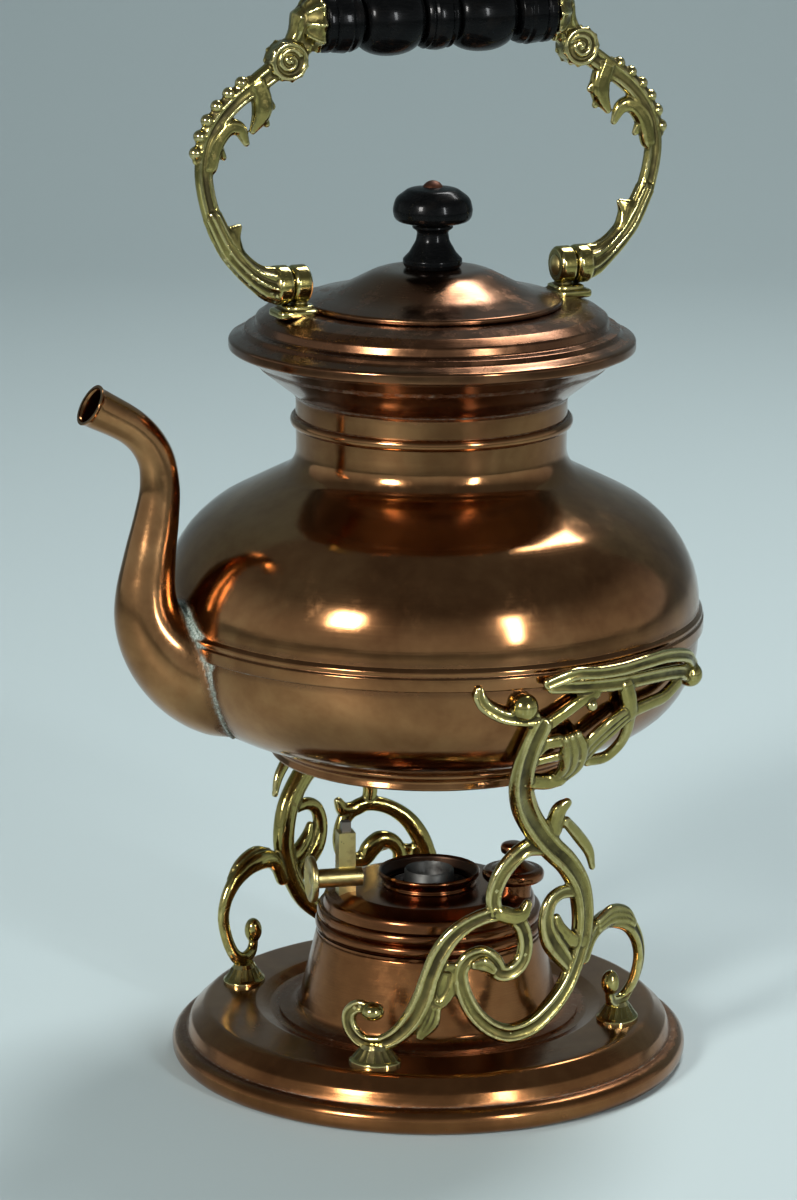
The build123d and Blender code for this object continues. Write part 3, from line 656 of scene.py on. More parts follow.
# Stand: scroll castings


def wall_radius(height):
    rise = min(max((height - flare_start) / (flare_end - flare_start), 0), 1)
    return foot_circle + (cradle_radius - foot_circle) * rise * rise * (3 - 2 * rise)


def from_axis(place):
    out = array([place[0], place[1], 0.0])
    return out / norm(out)


def on_wall(angle, height, out=0.0):
    radius = wall_radius(height) + out
    return [radius * cos(radians(angle)), radius * sin(radians(angle)), height]


def scroll(drawn, groove=0.55, out=0.0, depth=casting_depth):
    """Strand through (angle, height, half width); a fourth number is how far it stands off the wall."""
    rows = [on_wall(angle, height, own[0] if own else out) + [half + casting_swell]
            for angle, height, half, *own in drawn]
    return sweep(smooth_line(rows, 0.6), from_axis, groove, depth, power=0.96)


def wall_ball(angle, height, radius, out=0.0, squash=(1, 1, 1)):
    return ball(on_wall(angle, height, out), radius + casting_swell / 2, squash)


def leaf(drawn, lobes, spread, out):
    """A leaf as a fan of narrow ribs side by side along one line."""
    scale = foot_circle * pi / 180
    parts = []
    for lobe in range(lobes):
        shift = (lobe - (lobes - 1) / 2) * 2 / lobes
        ribs = []
        for index, (angle, height, half, *own) in enumerate(drawn):
            before = drawn[max(index - 1, 0)]
            after = drawn[min(index + 1, len(drawn) - 1)]
            du, dv = (after[0] - before[0]) * scale, after[1] - before[1]
            length = hypot(du, dv)
            angle -= shift * half * spread * dv / length / scale * 1.6
            height += shift * half * spread * du / length * 1.6
            ribs.append((angle, height, max(half / lobes * 1.25, 0.45), *own))
        parts.append(scroll(ribs, 0.0, out, 0.9))
    return parts


# The scroll bracket, centred on +X: strands of (angle, height, half width)
casting_stem = [
    (-6.7, 134.3, 3.4), (-8, 127.6, 3.4), (-8.3, 119.7, 3.6), (-7.2, 111.1, 3.9), (-4, 102.2, 4.2),
    (1, 93.9, 4.1), (7.3, 85.9, 3.9), (13.6, 79, 3.8), (18.4, 71.3, 3.9), (20.4, 63.8, 3.9),
    (20.6, 56.7, 3.7), (19.1, 50, 3.4), (16.8, 44, 3.1), (13, 37.4, 3.1), (8, 32.1, 3.1),
    (1.5, 27.4, 3.1), (-5.5, 25.9, 3), (-11.4, 28.4, 2.8), (-16.3, 33.9, 2.6), (-19.4, 41.1, 2.4),
    (-20.2, 47.7, 2.2), (-18.2, 51.8, 2.5), (-14.3, 53, 3), (-11.2, 50.4, 3.3), (-8.9, 46.9, 2.8),
    (-5.2, 46.7, 2.6), (-1.9, 50.2, 2.5), (-1, 56, 2.4), (-2.8, 62.3, 2.4), (-7.2, 65.9, 2.4),
    (-12.2, 66.2, 2.4), (-17.8, 64, 2.4), (-22.7, 59.8, 2.7), (-26.3, 53.9, 3), (-28.8, 46.9, 2.9),
    (-30.8, 39.4, 3.2), (-33.8, 32.3, 3.3), (-38, 26.7, 2.8), (-43.2, 23.5, 2.4), (-48.5, 23.9, 2.3),
    (-51.9, 27.9, 2.2), (-52.2, 32.4, 2.1), (-49.5, 35.2, 2), (-45.9, 34.3, 2.1),
]
casting_leg = [
    (21.2, 45.3, 2.2), (23.6, 50.7, 2.5), (27.5, 54.1, 2.9), (33.4, 55.1, 3.1, 0.5), (38, 53.8, 3.1, 2.3),
    (42.2, 50.5, 2.8, 4.2), (44.7, 45.5, 2.5, 6), (45.8, 40, 2.3, 6.8), (45.8, 34.8, 2.2, 6.4),
    (45.9, 29.5, 2.2, 4.8), (45.4, 25.4, 2.2, 2.6), (42.8, 23.8, 2.1, 0.8), (38.2, 25.2, 1.9, 0.2),
    (36.6, 29.5, 1.6, 0.2),
]
grooved_strands = [
    [(5.1, 86.8, 3), (-0.9, 86.9, 2.7), (-6, 83, 2.6), (-9.4, 77.6, 2.5), (-10.9, 71.8, 2.3),
     (-10.1, 66.3, 2.2)],
    [(16.8, 69.1, 1.9), (11.4, 69.8, 2), (7.8, 67.8, 2.1), (6.2, 63.7, 2.3), (6.2, 59.1, 2.6),
     (8, 54.2, 3.3), (11.1, 49.5, 3.1), (14.7, 44.6, 2.2)],
    [(-8.3, 136.9, 2.4), (-12.8, 137.5, 2.1), (-15.8, 139.1, 2), (-18.3, 141.8, 2), (-19.5, 144.9, 1.8),
     (-19.5, 147, 1.2)],
    [(-4.6, 146.4, 2), (3.7, 145.2, 2.2), (13, 144.1, 2.3), (22.2, 143.4, 2.2), (31.6, 141.5, 2.2),
     (37, 138.5, 2)],
    [(-6, 148, 1.6, 2.2), (-0.2, 150.3, 1.8, 2.6), (5.3, 149.6, 1.8, 2.6), (11.4, 149.4, 1.9, 2.6),
     (18.1, 149.8, 2, 2.6), (24.9, 149.4, 2, 2.6), (32.2, 146.8, 2, 2.4), (38.2, 141.4, 1.9, 1)],
]
plain_strands = [
    [(-9.5, 66.5, 2.3), (-5.4, 64.9, 2.5), (-2.1, 65.3, 2.3), (-0.2, 68.6, 1.3)],
    [(7.9, 90.9, 2.6), (7.5, 95.3, 2.7), (7.6, 99.2, 2.4), (9.5, 101.4, 1.4)],
    [(10.2, 94.6, 1.5, 1.6), (16.4, 87.9, 1.8, 1.6), (21.2, 81.6, 1.6, 1.5), (23.4, 75.5, 0.8, 1.2)],
    [(21.8, 51.3, 2.5), (15.2, 53.2, 2.5), (11.3, 57.5, 2.1), (9.8, 62, 1.1)],
    [(-4.7, 135, 1.9), (-1.1, 138.2, 1.8), (2.3, 140.9, 1.8), (5.6, 142.4, 1.8)],
    [(13.4, 143, 2.6), (14.4, 137.9, 2.7), (15.5, 133, 2.4)],
    [(15.3, 133.8, 2), (20.8, 134.7, 1.9), (26.1, 135.3, 1.9), (31.4, 138.2, 1.9)],
    [(-6.4, 125.1, 1.8), (-4.8, 127.6, 1.8), (-1.8, 128.1, 2)],
    [(-5.6, 120.9, 1.1), (-2.9, 121.6, 1.1), (-0.1, 122.1, 1.2)],
    [(-4.9, 113.1, 2.3), (-1.1, 112.3, 2.5), (2.2, 113.3, 2.8)],
    [(8, 118, 1.6), (13.5, 117.8, 1.6), (16.1, 121.5, 1.7), (16.4, 126.3, 1.8), (15.6, 132.4, 2)],
    [(-24.6, 50.4, 1), (-22, 48.3, 1.2), (-22.2, 44.3, 1.2), (-23.7, 39.8, 1.3), (-26.4, 37, 1.3),
     (-28.6, 39.9, 1.1)],
    [(-24.6, 49.6, 1.3), (-20.6, 49.5, 1.4)],
]
casting_leaves = [
    ([(2.2, 112.7, 2.6), (3.6, 117.4, 4), (2.6, 123.4, 4.2), (0.6, 129.2, 3)], 3, 0.5, 0.6),
    ([(5.8, 120, 2.2), (6.9, 125.2, 3.3), (9.4, 129.2, 3.5), (12.3, 132.2, 3), (15, 134, 2.2)],
     3, 0.5, 0.6),
    ([(27, 55, 2.4, 1.2), (33.4, 56.6, 3, 2), (39.4, 54.6, 2.6, 4), (42.6, 50.8, 1, 6)],
     3, 0.6, 0.3),
    ([(-27.6, 36.4, 2), (-29, 31.4, 2.8), (-31.8, 25.9, 1)], 3, 0.55, 0.4),
    ([(-16.8, 50.4, 1.2), (-14, 50.6, 2.2), (-11, 48, 1.2)], 2, 0.5, 1.6),
]
casting_knobs = [
    (-10.3, 140.7, 4.3, -0.4), (38.2, 138.2, 3.9), (4.3, 139, 1.7, 1),
    (36.9, 32, 3, 0.2, (0.95, 0.95, 1.35)), (-45.2, 34, 2.9, 0, (1.25, 1.25, 1)),
]


def make_castings():
    parts = [scroll(casting_stem, 0.64), scroll(casting_leg, 0.5)]
    parts += [scroll(strand) for strand in grooved_strands]
    parts += [scroll(strand, 0.12) for strand in plain_strands]
    for drawn in casting_leaves:
        parts += leaf(*drawn)
    parts.append(scroll([(-25.4, 48.6, 2.2), (-25.6, 43.7, 3.0), (-26.6, 39.0, 2.2)], 0.0, -0.8, 0.45))
    parts += [wall_ball(*drawn) for drawn in casting_knobs]
    for name, side in (("bracket_front", -1), ("bracket_back", 1)):
        place = Matrix.Rotation(radians(side * 90 + stand_turn), 4, "Z")
        cast_piece(name + "_scrolls", parts, name, at=place)


def make_feet():
    """Four fluted cones, wider along the wall than across it, in one piece."""
    low = foot_land_height
    steps = [(8.5, 0), (8.5, 0.9), (7.6, 1.7), (4.9, foot_height), (4.0, foot_height + 1.2)]
    section = solid_section(corner(0, low, *steps), [0.4, 0.4, 1.0], 20)

    def flute(angle, radius, height):
        inside = min(max((height - low - 1.4) / 0.8, 0), 1) * (1 if height < low + foot_height else 0.3)
        return -0.055 * inside * abs(cos(foot_flutes * angle / 2))

    feet = []
    for angle in [side + stand_turn + way * foot_angle for side in (-90, 90) for way in (-1, 1)]:
        places = turned_places(section, 96, flute)
        places[:, 0] = foot_circle + places[:, 0] * foot_width / foot_length
        spin = array(Matrix.Rotation(radians(angle), 3, "Z"))
        feet.append((places @ spin.T, grid_faces(len(section), 96)))
    mesh_piece("fluted_feet", *joined(feet), brass, "bracket_feet")


# Burner


def bead_line(radius, low, high, reach):
    """Half-round bead from low to high that stands reach proud of radius."""
    middle = (low + high) / 2
    half = (high - low) / 2
    return [(radius + reach * cos(a), middle + half * sin(a)) for a in np.linspace(-pi / 2, pi / 2, 9)]


def make_burner():
    beads = []
    groove = cover_middle_bead + cover_bead_gap
    for low, high, reach in ((cover_low, cover_middle_bead, 1.5), (groove, cover_upper_bead, 1.2)):
        beads += bead_line(cover_radius - 0.25 * (low - cover_low) / 3, low, high, reach)
    shoulder = [(cover_radius - 1.0, cover_upper_bead + cover_bead_gap), (34.6, 54.6), (28.0, 57.0),
                (collar_waist_radius - 0.9, cover_top)]
    section = walled(vstack([beads, rounded(shoulder, [2.6, 4.0])]), 0.7)
    turned("burner_dome", section, burner_copper, "burner_cover", uneven=0.08,
           grime_and_shade=lambda p: 0.4 * near(hypot(p.x, p.y), collar_waist_radius + 0.5, 2.5)
           + 0.3 * near(p.z, 48.95, 0.6))
    outline = corner(collar_waist_radius, cover_top, (-0.4, -0.4), (0.7, 0.3), (0, 1.3))
    outline += corner(collar_radius, collar_top, (-0.2, -1.6), (0.1, -0.6), (-0.4, 0))
    section = sheet(outline, [0.5, 0.5, 1.6, 0.5], 0.9)
    inside = collar_waist_radius - 0.5
    # The collar's inner wall is given a value below 0, which makes it near black.
    turned("flame_collar", section, burner_copper, "burner_collar", uneven=0.05,
           grime_and_shade=lambda p: -0.9 if hypot(p.x, p.y) < inside + 0.32 * (p.z - cover_top) else 0.0)
    pipe = corner(draught_radius, draught_low, (-0.7, 0), (0, 0))
    pipe += corner(draught_radius, collar_top + 0.2, (0, -0.5), (-0.35, 0), (-0.7, -0.5))
    turned("air_pipe", pipe, sooty_metal, "draught_tube", turns=96)


def make_filler():
    turn = radians(filler_angle)
    place = Matrix.Translation((filler_place_radius * cos(turn), filler_place_radius * sin(turn), 0))
    low = filler_neck_top
    neck = corner(filler_neck_radius, filler_neck_low, (-0.8, 0), (0, 0))
    neck += corner(filler_neck_radius, low, (0, -0.3), (-0.4, 0), (-0.8, -0.3))
    turned("filler_pipe", neck, burner_copper, "filler_neck", place, turns=96, grime_and_shade=lambda p: 0.25)
    outline = corner(0, low, (4.9, -3.0), (4.9, 0.05), (10.1, 0.05), (10.3, 4.4), (7.4, 4.3), (5.8, 5.1),
                     (3.0, 7.0), (2.3, 7.5))
    section = solid_section(outline, [0.1, 1.9, 1.9, 0.7, 1.5, 1.0], 12)
    turned("filler_lid", section, burner_copper, "filler_cap", place, turns=128,
           grime_and_shade=lambda p: 0.3 * near(p.z, low + 4.3, 0.8))
    outline = corner(0, low, (2.3, 7.4), (2.3, 8.6), (4.1, 9.6), (4.3, 12.4), (2.0, 12.9))
    section = solid_section(outline, [0.8, 1.2, 1.6], 12)
    turned("filler_button", section, burner_copper, "filler_knob", place, turns=96, grime_and_shade=lambda p: 0.2)


def make_wheel():
    """Thumb wheel with a round rim and a dished face, out along the spindle."""
    outline = corner(0, wheel_reach, (1.3, -1.4), (2.6, -1.4), (3.0, -0.6), (6.2, -1.2), (wheel_radius, -0.8),
                     (wheel_radius, 1.0), (6.6, 1.2), (2.2, 0.2), (1.4, 0.7))
    section = solid_section(outline, [0.3, 0.5, 0.4, 0.8, 0.8, 0.8, 0.4], 15)
    place = Matrix.Rotation(radians(raiser_angle), 4, "Z")
    place @= Matrix.Translation((raiser_radius, spindle_offset, spindle_height))
    place @= Matrix.Rotation(pi / 2, 4, "Y")
    turned("raiser_wheel", section, turned_brass, "thumb_wheel", place, turns=96)


# Kettle


lower_line = rounded(
    [(0.02, kettle_floor_height), (kettle_floor_radius, kettle_floor_height),
     (body_radius, belly_corner_height), (body_radius, seam_height)], [4.0, 30.0])
upper_line = rounded(
    [(body_radius, seam_height), (body_radius, shoulder_corner_height),
     (neck_radius, neck_corner_height), (neck_radius, neck_top)], [38.0, 9.0])


def make_body():
    floor = kettle_floor_height
    turned("belly_lower", walled(lower_line, kettle_wall), body_copper, "kettle_lower_body",
           uneven=0.28, turns=256,
           grime_and_shade=lambda p: 0.5 * near(p.z, bead_bottom, 3.0) + 0.4 * near(p.z, floor, 2.0) + spout_seam(p))
    # Darkening at the seam height: painted shadow of the gap above the bead, as well as a dark joint.
    turned("belly_upper", walled(upper_line, kettle_wall), body_copper, "kettle_upper_body",
           uneven=0.28, turns=256,
           grime_and_shade=lambda p: 0.4 * near(p.z, seam_height, 2.5) + 0.4 * near(p.z, neck_top, 3.0) + spout_seam(p))
    outline = corner(body_radius, bead_bottom, (-0.3, 0), (1.5, 0))
    outline += corner(body_radius, seam_height, (1.6, -3.4), (0.9, -2.8), (1.3, -1.4), (-0.3, 0.1))
    # Darkening at the top edge of the bead and in its groove: painted shadow lines, as well as a dark joint;
    # by the spout it is crust.
    turned("seam_bead", rounded(outline, [0.7, 0.5, 0.4, 1.0], 15), body_copper, "bead_ring",
           uneven=0.22, turns=256,
           grime_and_shade=lambda p: 0.35 * near(p.z, seam_height - 2.8, 0.9) + 0.4 * near(p.z, seam_height, 1.2)
           + 0.6 * near(p.x, -80, 16) * near(p.z, bead_bottom, 2.0) + spout_seam(p))
    outline = corner(0, foot_ring_height, (51.9, 0), (52.4, 0.4), (51.6, 2.6), (53.4, 4.6), (52.2, 6.6))
    turned("belly_foot", sheet(outline, [0.5, 1.0, 1.0], 1.0), body_copper, "kettle_foot_ring", uneven=0.08,
           grime_and_shade=lambda p: 0.4 * near(p.z, floor, 2.0))


def make_neck_and_rim():
    steps = [(1.7 * cos(turn), 1.9 * sin(turn)) for turn in np.linspace(-pi, pi, 25)[:-1]]
    section = corner(neck_radius + 0.2, neck_ring_height, *steps)
    turned("neck_bead", section, body_copper, "neck_ring", uneven=0.10,
           grime_and_shade=lambda p: 0.5 * near(abs(p.z - neck_ring_height), 1.9, 0.8))
    outline = [
        *corner(neck_radius, neck_top, (0, -0.6), (0.6, 0.6), (4.4, 3.6)),
        *corner(step_radius, neck_top, (-1.0, 9.6), (0, 10.8)),
        (rim_radius - 3.6, neck_top + 14.2),
        *corner(rim_radius, rim_height, (0, -3.0), (0, 0.2)),
        *corner(step_radius, rim_height, (4.4, 1.8), (3.6, 3.4), (0.6, 4.0), (0, 6.8)),
        *corner(step_radius, seat_height, (-3.2, -1.6), (-9.0, 0)),
        *corner(mouth_radius, seat_height, (0, 0), (0, -5.0)),
    ]
    rounds = [0.4, 2.0, 1.5, 0.8, 1.2, 1.0, 1.1, 1.6, 0.8, 0.9, 1.6, 1.5, 2.0, 1.2]
    turned("rim_steps", sheet(outline, rounds, kettle_wall), lid_copper, "rim_collar", uneven=0.6, turns=256,
           grime_and_shade=lambda p: max(0.26 if p.z > rim_height + 0.6 else 0.0,
                               0.36 * near(p.z, rim_height + 3.6, 1.1),
                               0.6 * near(p.z, neck_top + 0.4, 1.4),
                               0.8 * near(p.z, neck_top + 10.2, 1.2)))


# (x, y, z, direction, half width, half height) along the swan neck
spout_stations = [
    (-70, 0, 136, 0, 23.4, 20.2),
    (-78, 0, 137.2, 8, 22, 19.4),
    (-86, 0, 141, 24, 19, 16.8),
    (-93.8, 0, 148.6, 52, 14.4, 13.2),
    (-98, 0, 157.4, 76, 11.2, 11),
    (-98.8, 0, 166, 92, 9.5, 9.5),
    (-97.2, 0, 177.8, 98, 8.2, 8.2),
    (-94.9, 0, 190, 98, 7.1, 7.1),
    (-93.8, 0, 200, 90, 6.3, 6.3),
    (-95.6, 0, 210, 65, 5.8, 5.8),
    (-102.4, 0, 218.8, 40, 5.8, 5.8),
    (-115.8, 0, 226.8, 30, 6.5, 6.5),
]
spout_line = smooth_line(spout_stations, 1.2)
spout_sides = 64


def spout_ring(row, shrink):
    """Places round one section of the spout."""
    x, _, z, turn, wide, tall = row
    up = array([sin(radians(turn)), 0, cos(radians(turn))])
    angles = np.linspace(0, 2 * pi, spout_sides, endpoint=False)
    ring = array([x, 0, z]) + np.outer(np.sin(angles) * (tall - shrink), up)
    ring[:, 1] += np.cos(angles) * (wide - shrink)
    return ring


def body_reach(height):
    """Radius of the kettle's outer side."""
    line = vstack([lower_line, upper_line])
    return np.interp(height, line[:, 1], line[:, 0])


def spout_root():
    """Closed line where the spout's outer side meets the body."""
    rings = array([spout_ring(row, 0.0) for row in spout_line])
    line = []
    for side in range(spout_sides):
        track = rings[:, side]
        proud = np.hypot(track[:, 0], track[:, 1]) - body_reach(track[:, 2])
        first = int(np.argmax(proud > 0))
        share = -proud[first - 1] / (proud[first] - proud[first - 1])
        line.append(track[first - 1] + (track[first] - track[first - 1]) * share)
    return array(line)


root_line = spout_root()


def spout_seam(place):
    """Crust where the spout meets the body, falling to 0 a few millimetres away."""
    if place.x > -55 or place.z > 180:
        return 0.0
    nearest = norm(root_line - array(place), axis=1).min()
    return (0.72 + 0.55 * near(place.z, crust_top_height, 20)) * max(0.0, 1.0 - nearest / crust_reach)


def make_spout():
    mouth = spout_line[-1]
    lip = [mouth + array([-0.25 * step, 0, 0.15 * step, 0, grow, grow])
           for step, grow in ((1, 0.12), (2, 0.3), (3, 0.42), (4, 0.36))]
    line = vstack([spout_line, lip])
    rings = [spout_ring(row, 0.0) for row in line]
    rings += [spout_ring(row, 0.9) for row in line[::-1]]
    places = vstack(rings)
    places[:, 1] += wobble(places, 0.3)
    reach = np.hypot(places[:, 0], places[:, 1])
    held = np.maximum(reach, body_reach(places[:, 2]) - 0.5)
    places[:, :2] *= (held / reach)[:, None]
    faces = grid_faces(len(rings), spout_sides, True, flip=True)
    mesh_piece("swan_neck", places, faces, spout_copper, "spout", sharp=50, grime_and_shade=spout_seam)
    rows = np.hstack([root_line, np.zeros((spout_sides, 1))])
    rows[:, 3] = 1.0 + wobble(rows[:, :3] * 4.0, 1.0)
    rows = vstack([rows, rows[:2]])
    places, faces = sweep(rows, from_axis, depth=0.9, sides=12, least=0.5)
    mesh_piece("spout_solder", places, faces, spout_copper, "spout", replaces=False, sharp=60,
               grime_and_shade=lambda p: 0.62 + 0.3 * near(p.z, crust_top_height + 1, 20))


# Lid


def make_lid():
    low = seat_height
    outline = corner(lid_radius, low, (-2.0, 0.1), (0, 0.2), (0, 2.0), (-2.6, 2.6))
    outline += corner(0, low, (lid_radius * 0.74, 4.6), (lid_radius * 0.42, 11.4), (1.8, 12.0))
    section = sheet(outline, [0.6, 1.0, 1.2, 26.0, 17.0], 0.9)
    turned("lid_dome", section, lid_copper, "lid_shell", uneven=0.22, turns=224,
           grime_and_shade=lambda p: max(0.2, 0.45 * near(p.z, low, 1.6) + 0.5 * near(hypot(p.x, p.y), 10.0, 2.0)))
    outline = corner(0, knob_low, (8.8, 0), (9.5, 1.2), (9.5, 2.6), (7.6, 4.6), (5.4, 8.4), (4.9, 11.4),
                     (6.6, 12.6), (6.4, 13.6), (12.3, 15.0), (12.8, 18.4), (12.0, 22.0), (8.0, 25.0),
                     (3.6, 25.7))
    section = solid_section(outline, [0.6, 0.9, 2.0, 4.0, 1.6, 0.5, 0.5, 2.6, 3.0, 4.0, 4.0], 12)
    turned("knob_wood", section, wood, "lid_knob", turns=128)


# Bail


def make_grip():
    """Turned grip: an end, a large bulb and a narrow waist, and the same mirrored."""
    outline = corner(0, -grip_length / 2, (8.6, 0), (9.8, 1.0), (9.9, 3.0), (9.2, 3.8), (9.9, 4.8),
                     (10.3, 8.4), (9.6, 9.4), (10.0, 10.4), (9.2, 12.4), (6.1, 13.9))
    line = list(rounded(outline, [0.8, 0.6, 0.3, 0.6, 0.6, 0.3, 0.4, 0.8], 20))
    for turn in np.linspace(-pi / 2, pi / 2, 25):
        line.append(array([6.2 + 5.6 * cos(turn) ** 0.85, -15.9 + 10.0 * sin(turn)]))
    waist = [(6.1, -5.8), (9.2, -5.3), (10.2, -4.0), (9.6, -3.0), (10.4, -2.2), (10.7, 0.0)]
    line += list(rounded(waist, [0.5, 0.6, 0.3, 0.6], 20))
    other = [array([radius, -along]) for radius, along in line[-2::-1]]
    place = Matrix.Translation((0, 0, grip_height)) @ Matrix.Rotation(pi / 2, 4, "Y")
    turned("grip_wood", run_in(line + other), wood, "handle_grip", place, turns=128)


toward_front = (0.0, -1.0, 0.0)
along_hinge = (1.0, 0.0, 0.0)


def flat_strand(drawn, groove=0.0, depth=1.0, power=1.0, flutes=0):
    rows = [[x, 0, z, half] for x, z, half in drawn]
    sides = 36 if flutes else 18
    line = smooth_line(rows, 0.5)
    return sweep(line, toward_front, groove, depth, sides, power=power, flutes=flutes, back=groove)


hub_middle = pivot_reach + ear_width / 2 + ear_gap + 2.8
arm_line = [
    (hub_middle, pivot_height, 5.8), (hub_middle + 3.8, 261.6, 5.2), (60.6, 263.8, 4), (65, 267.4, 3.5),
    (70.4, 273.8, 3.3), (75.6, 284, 3), (78.2, 296, 2.9), (77.2, 305.6, 2.9), (73.4, 313.4, 3),
    (67.2, 319.8, 3.1), (59, 325.4, 3.4), (50.6, 331.4, 3.8), (45.4, 337.4, 5.2),
    (42.2, grip_height - 1, 7.6),
]
arm_strands = [
    [(66.4, 268.6, 3.4), (69.6, 273.4, 3.9), (71.6, 277.6, 3.5)],
    [(66.6, 268.4, 2.8), (68.6, 273.4, 3.3), (68.4, 277, 2.6), (66.2, 280.2, 0.9)],
    [(71.8, 277.4, 2.4), (69.2, 278.8, 1.9), (66.4, 280, 1)],
    [(74, 276.4, 1.8), (76, 280.4, 1.5), (76.6, 283.6, 0.9)],
    [(76.4, 299, 2.6), (74.4, 306.6, 3), (70.4, 311.2, 2.8), (66.4, 310.8, 2.4), (63.8, 306, 1.1)],
    [(73.4, 304.4, 2.2), (71.4, 302, 1)],
    [(75, 309.4, 2.2), (71, 313.6, 2.2)],
    [(60.8, 325, 3.3), (58.8, 319.6, 3.4), (59, 315, 3.1), (61.8, 309.8, 1.2)],
    [(57.8, 320.4, 1.9), (55.2, 317, 1.3)],
    [(58.6, 315.4, 1.9), (57, 311.6, 1.1)],
]


def rosette(x, z, radius):
    """Round boss with a raised rim, a coil and notches, on both faces."""
    axle = array([[x, -3.0, z, radius], [x, 3.0, z, radius]])
    parts = [sweep(axle, along_hinge, 0, 1.0, 40, round_ends=False)]

    def spot(reach, angle, y):
        return [x + reach * cos(angle), y, z + reach * sin(angle)]

    for face in (-1, 1):
        rim = [spot(radius - 0.8, a, face * 3.1) + [0.85] for a in np.linspace(0, 2 * pi, 40)]
        coil = [spot(0.8 + 3.2 * t, 9 * t, face * 3.2) + [0.75] for t in np.linspace(0, 1, 50)]
        parts += [sweep(array(line), toward_front, 0, 1.0, 10) for line in (rim, coil)]
        for notch in range(11):
            parts.append(ball(spot(radius - 0.3, 2 * pi * notch / 11, face * 2.6), 0.95, rows=8, columns=10))
        parts.append(ball((x, face * 3.2, z), 1.2, rows=8, columns=12))
    return parts


def arm_parts():
    """The +X arm; the other is its mirror image."""
    parts = [flat_strand(arm_line[3:], 0.55, 0.95, power=0.95), flat_strand(arm_line[:6], flutes=9)]
    rows = smooth_line([[x, 0, z, half] for x, z, half in arm_line], 0.5)
    crest = [row for row in rows if row[2] > 301 and row[0] > 61]
    ridge = []
    for index, row in enumerate(crest):
        ahead = crest[min(index + 1, len(crest) - 1)] - crest[max(index - 1, 0)]
        away = array([ahead[2], 0, -ahead[0]])
        away /= norm(away) * (1 if away[0] > 0 else -1)
        ridge.append([*(row[:3] + away * 2.6), 1.3])
        if index % (len(crest) // 6) == len(crest) // 12:
            parts.append(ball(row[:3] + away * 3.2, 2.2, rows=10, columns=16))
    parts.append(sweep(array(ridge), toward_front))
    parts += [flat_strand(strand, 0.2, 0.95) for strand in arm_strands]
    parts += rosette(*rosette_place, rosette_radius)
    return parts


def ferrule():
    """Fluted cup that holds the end of the grip, in the +X place."""
    outline = [(10.0, 40.05), (10.4, 41.0), (9.0, 43.0), (6.6, 45.4), (3.0, 46.6)]
    return about_x(outline, [0.4, 1.0, 2.0], 72, grip_height, lambda angle, *at: -0.14 * abs(cos(5 * angle)))


def barrel(low, high, radius):
    """Short round hub about the hinge line, with a soft edge."""
    outline = [(radius - 0.9, low), (radius, low + 0.9), (radius, high - 0.9), (radius - 0.9, high)]
    return about_x(outline, [0.5, 0.5], 60, pivot_height)


# Matrices that carry a form at the +X end of the hinge line to both ends
hinge_ends = {"left": Matrix.Rotation(pi, 4, "Z"), "right": Matrix.Identity(4)}


def make_bail():
    start = pivot_reach + ear_width / 2 + ear_gap
    parts = arm_parts() + [ferrule(), barrel(start, start + 5.6, 6.3)]
    for name, place in hinge_ends.items():
        cast_piece(f"arm_{name}_cast", parts, f"handle_arm_{name}", 0.36, 3, place)


def make_lugs():
    """Ear, pillar and stepped foot of each hinge."""
    middle = pivot_reach + 1.6
    plate = ball((middle, 0, seat_height + 0.5), 1.0, (6.9, 6.2, 1.5), 14, 48, 0.4)
    step = ball((middle - 0.6, 0, seat_height + 2.4), 1.0, (5.2, 5.2, 1.1), 14, 48, 0.5)
    pillar = [[pivot_reach, 0, seat_height + rise, half]
              for rise, half in ((1.6, 4.6), (3.0, 3.7), (4.4, 3.6), (6.0, 4.6), (8.0, 5.3))]
    stem = sweep(smooth_line(pillar, 0.5), along_hinge, 0, 0.62, 24, power=0.8)
    ear = barrel(pivot_reach - ear_width / 2, pivot_reach + ear_width / 2, 6.1)
    for name, place in hinge_ends.items():
        cast_piece(f"ear_{name}_cast", [plate, step, stem, ear], f"lug_{name}", 0.3, 1, place)


# Materials of the nodes that stay as they are


def dress_nodes():
    looks = dict(copper=body_copper, burner_copper=burner_copper, brass_casting=brass,
                 brass_turned=turned_brass, iron_pin=dark_iron, blackened_wood=wood,
                 stud_copper=stud_copper, wick_cotton=cotton, steel_screw=steel)
    for name, node in frame["nodes"].items():
        sooty = name in ("wick_carrier", "draught_tube")
        node.data.materials.clear()
        node.data.materials.append(sooty_metal if sooty else looks[slots[name]])


# Light, floor and camera


def make_stage():
    """Plain floor that curves up into a wall behind."""
    reach = 4000.0
    curve = 900.0
    wall = 2400.0
    line = rounded([(-reach, 0), (wall, 0), (wall, reach)], [curve], 6) * MM
    places = [(x, y, z) for x in (-reach * MM, reach * MM) for y, z in line]
    count = len(line)
    faces = [(i, i + 1, count + i + 1, count + i) for i in range(count - 1)]
    mesh = bpy.data.meshes.new("studio")
    mesh.from_pydata(places, [], faces)
    mesh.shade_smooth()
    paint = new_look("studio_floor")
    mesh.materials.append(paint.finished(Base_Color=(0.44, 0.53, 0.54, 1.0), Roughness=0.6))
    floor = new_object("studio", mesh)
    floor.rotation_euler[2] = -view_turn


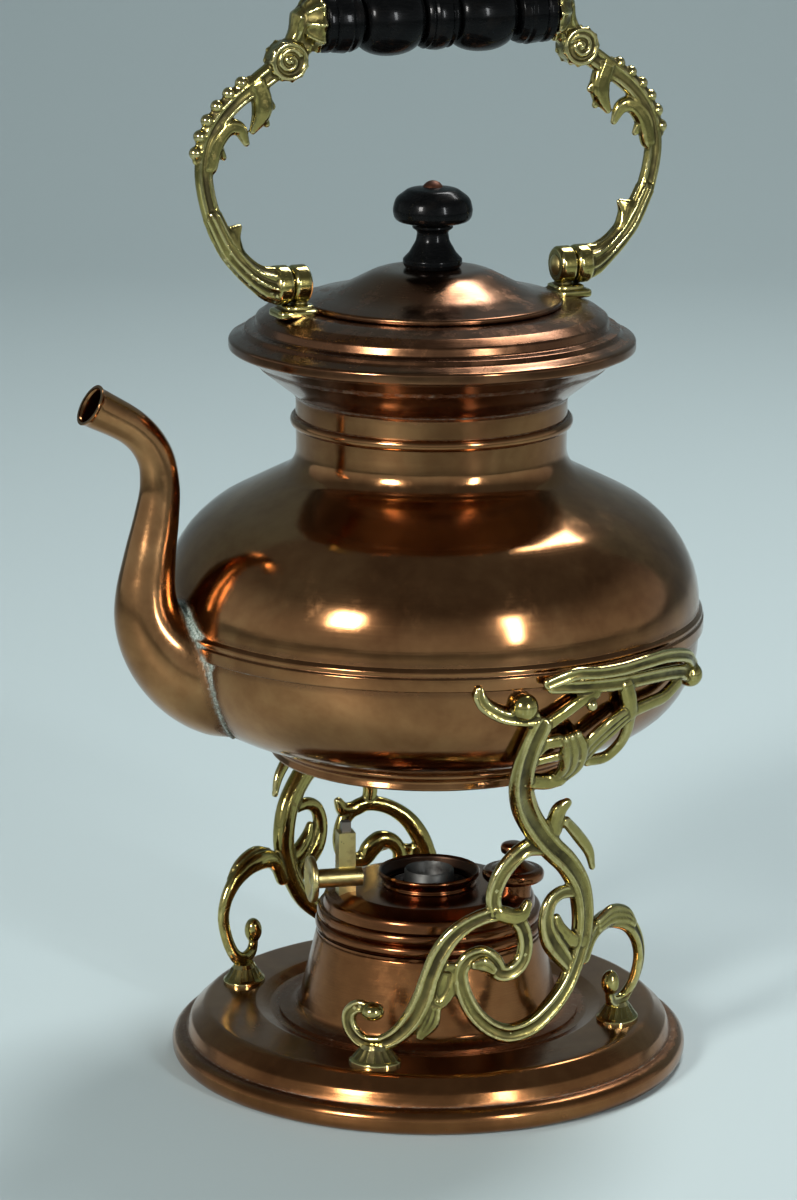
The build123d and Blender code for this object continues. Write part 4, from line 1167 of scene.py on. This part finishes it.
def lamp(name, place, width, height, power, fan=180, colour=(1, 1, 1)):
    """Lamp like a window that faces the object; fan is the angle that its light spreads over."""
    light = bpy.data.lights.new(name, "AREA")
    light.shape = "RECTANGLE"
    light.size = width
    light.size_y = height
    light.energy = power
    light.spread = radians(fan)
    light.color = colour
    holder = new_object(name, light)
    holder.location = place
    holder.rotation_euler = (Vector((0, 0, 0.17)) - Vector(place)).to_track_quat("-Z", "Y").to_euler()


def make_lights():
    lamp("key_window", (-1.7, -0.95, 1.0), 0.38, 0.45, 6.8, fan=76, colour=(1.0, 0.98, 0.95))
    lamp("front_window", (0.35, -1.75, 0.7), 0.16, 0.7, 1.75, fan=60, colour=(0.95, 0.98, 1.0))
    lamp("top_sheet", (0.75, 0.5, 1.6), 0.6, 0.6, 24)
    look = Look(bpy.data.worlds.new("studio_air"))
    toward = look.add("TexCoord").outputs["Generated"]
    rise = look.add("SeparateXYZ", Vector=toward).outputs[2]
    air = look.ramp(rise, [(0.0, (0.5, 0.57, 0.59)), (0.18, (0.42, 0.46, 0.48)), (0.55, (0.12, 0.13, 0.135))])
    look.plug(look.tree.nodes["Background"].inputs[0], air)
    bpy.context.scene.world = look.owner


def make_camera():
    """The photograph's camera, fitted to the round seams of the object."""
    distance = 1424.7
    height = 508.4
    focal_in_frame_heights = 4518.1 / 1200.0
    yaw, pitch, roll = radians(-0.42), radians(13.99), radians(0.22)
    ahead = Vector((sin(yaw) * cos(pitch), cos(yaw) * cos(pitch), -sin(pitch)))
    right = Vector((cos(yaw), -sin(yaw), 0))
    up = right.cross(ahead)
    right, up = right * cos(roll) + up * sin(roll), up * cos(roll) - right * sin(roll)
    turn = Matrix.Rotation(-view_turn, 3, "Z")
    axes = Matrix([turn @ right, turn @ up, turn @ -ahead]).transposed()
    camera = bpy.data.cameras.new("camera")
    camera.sensor_width = 36.0
    camera.lens = focal_in_frame_heights * camera.sensor_width
    camera.clip_end = 30.0
    holder = new_object("camera", camera)
    holder.matrix_world = Matrix.Translation(turn @ Vector((0, -distance, height)) * MM) @ axes.to_4x4()
    bpy.context.scene.camera = holder


dress_nodes()
make_dish()
make_castings()
make_feet()
make_burner()
make_filler()
make_wheel()
make_body()
make_neck_and_rim()
make_spout()
make_lid()
make_grip()
make_bail()
make_lugs()
make_stage()
make_lights()
make_camera()

bpy.context.scene.view_settings.view_transform = "Standard"
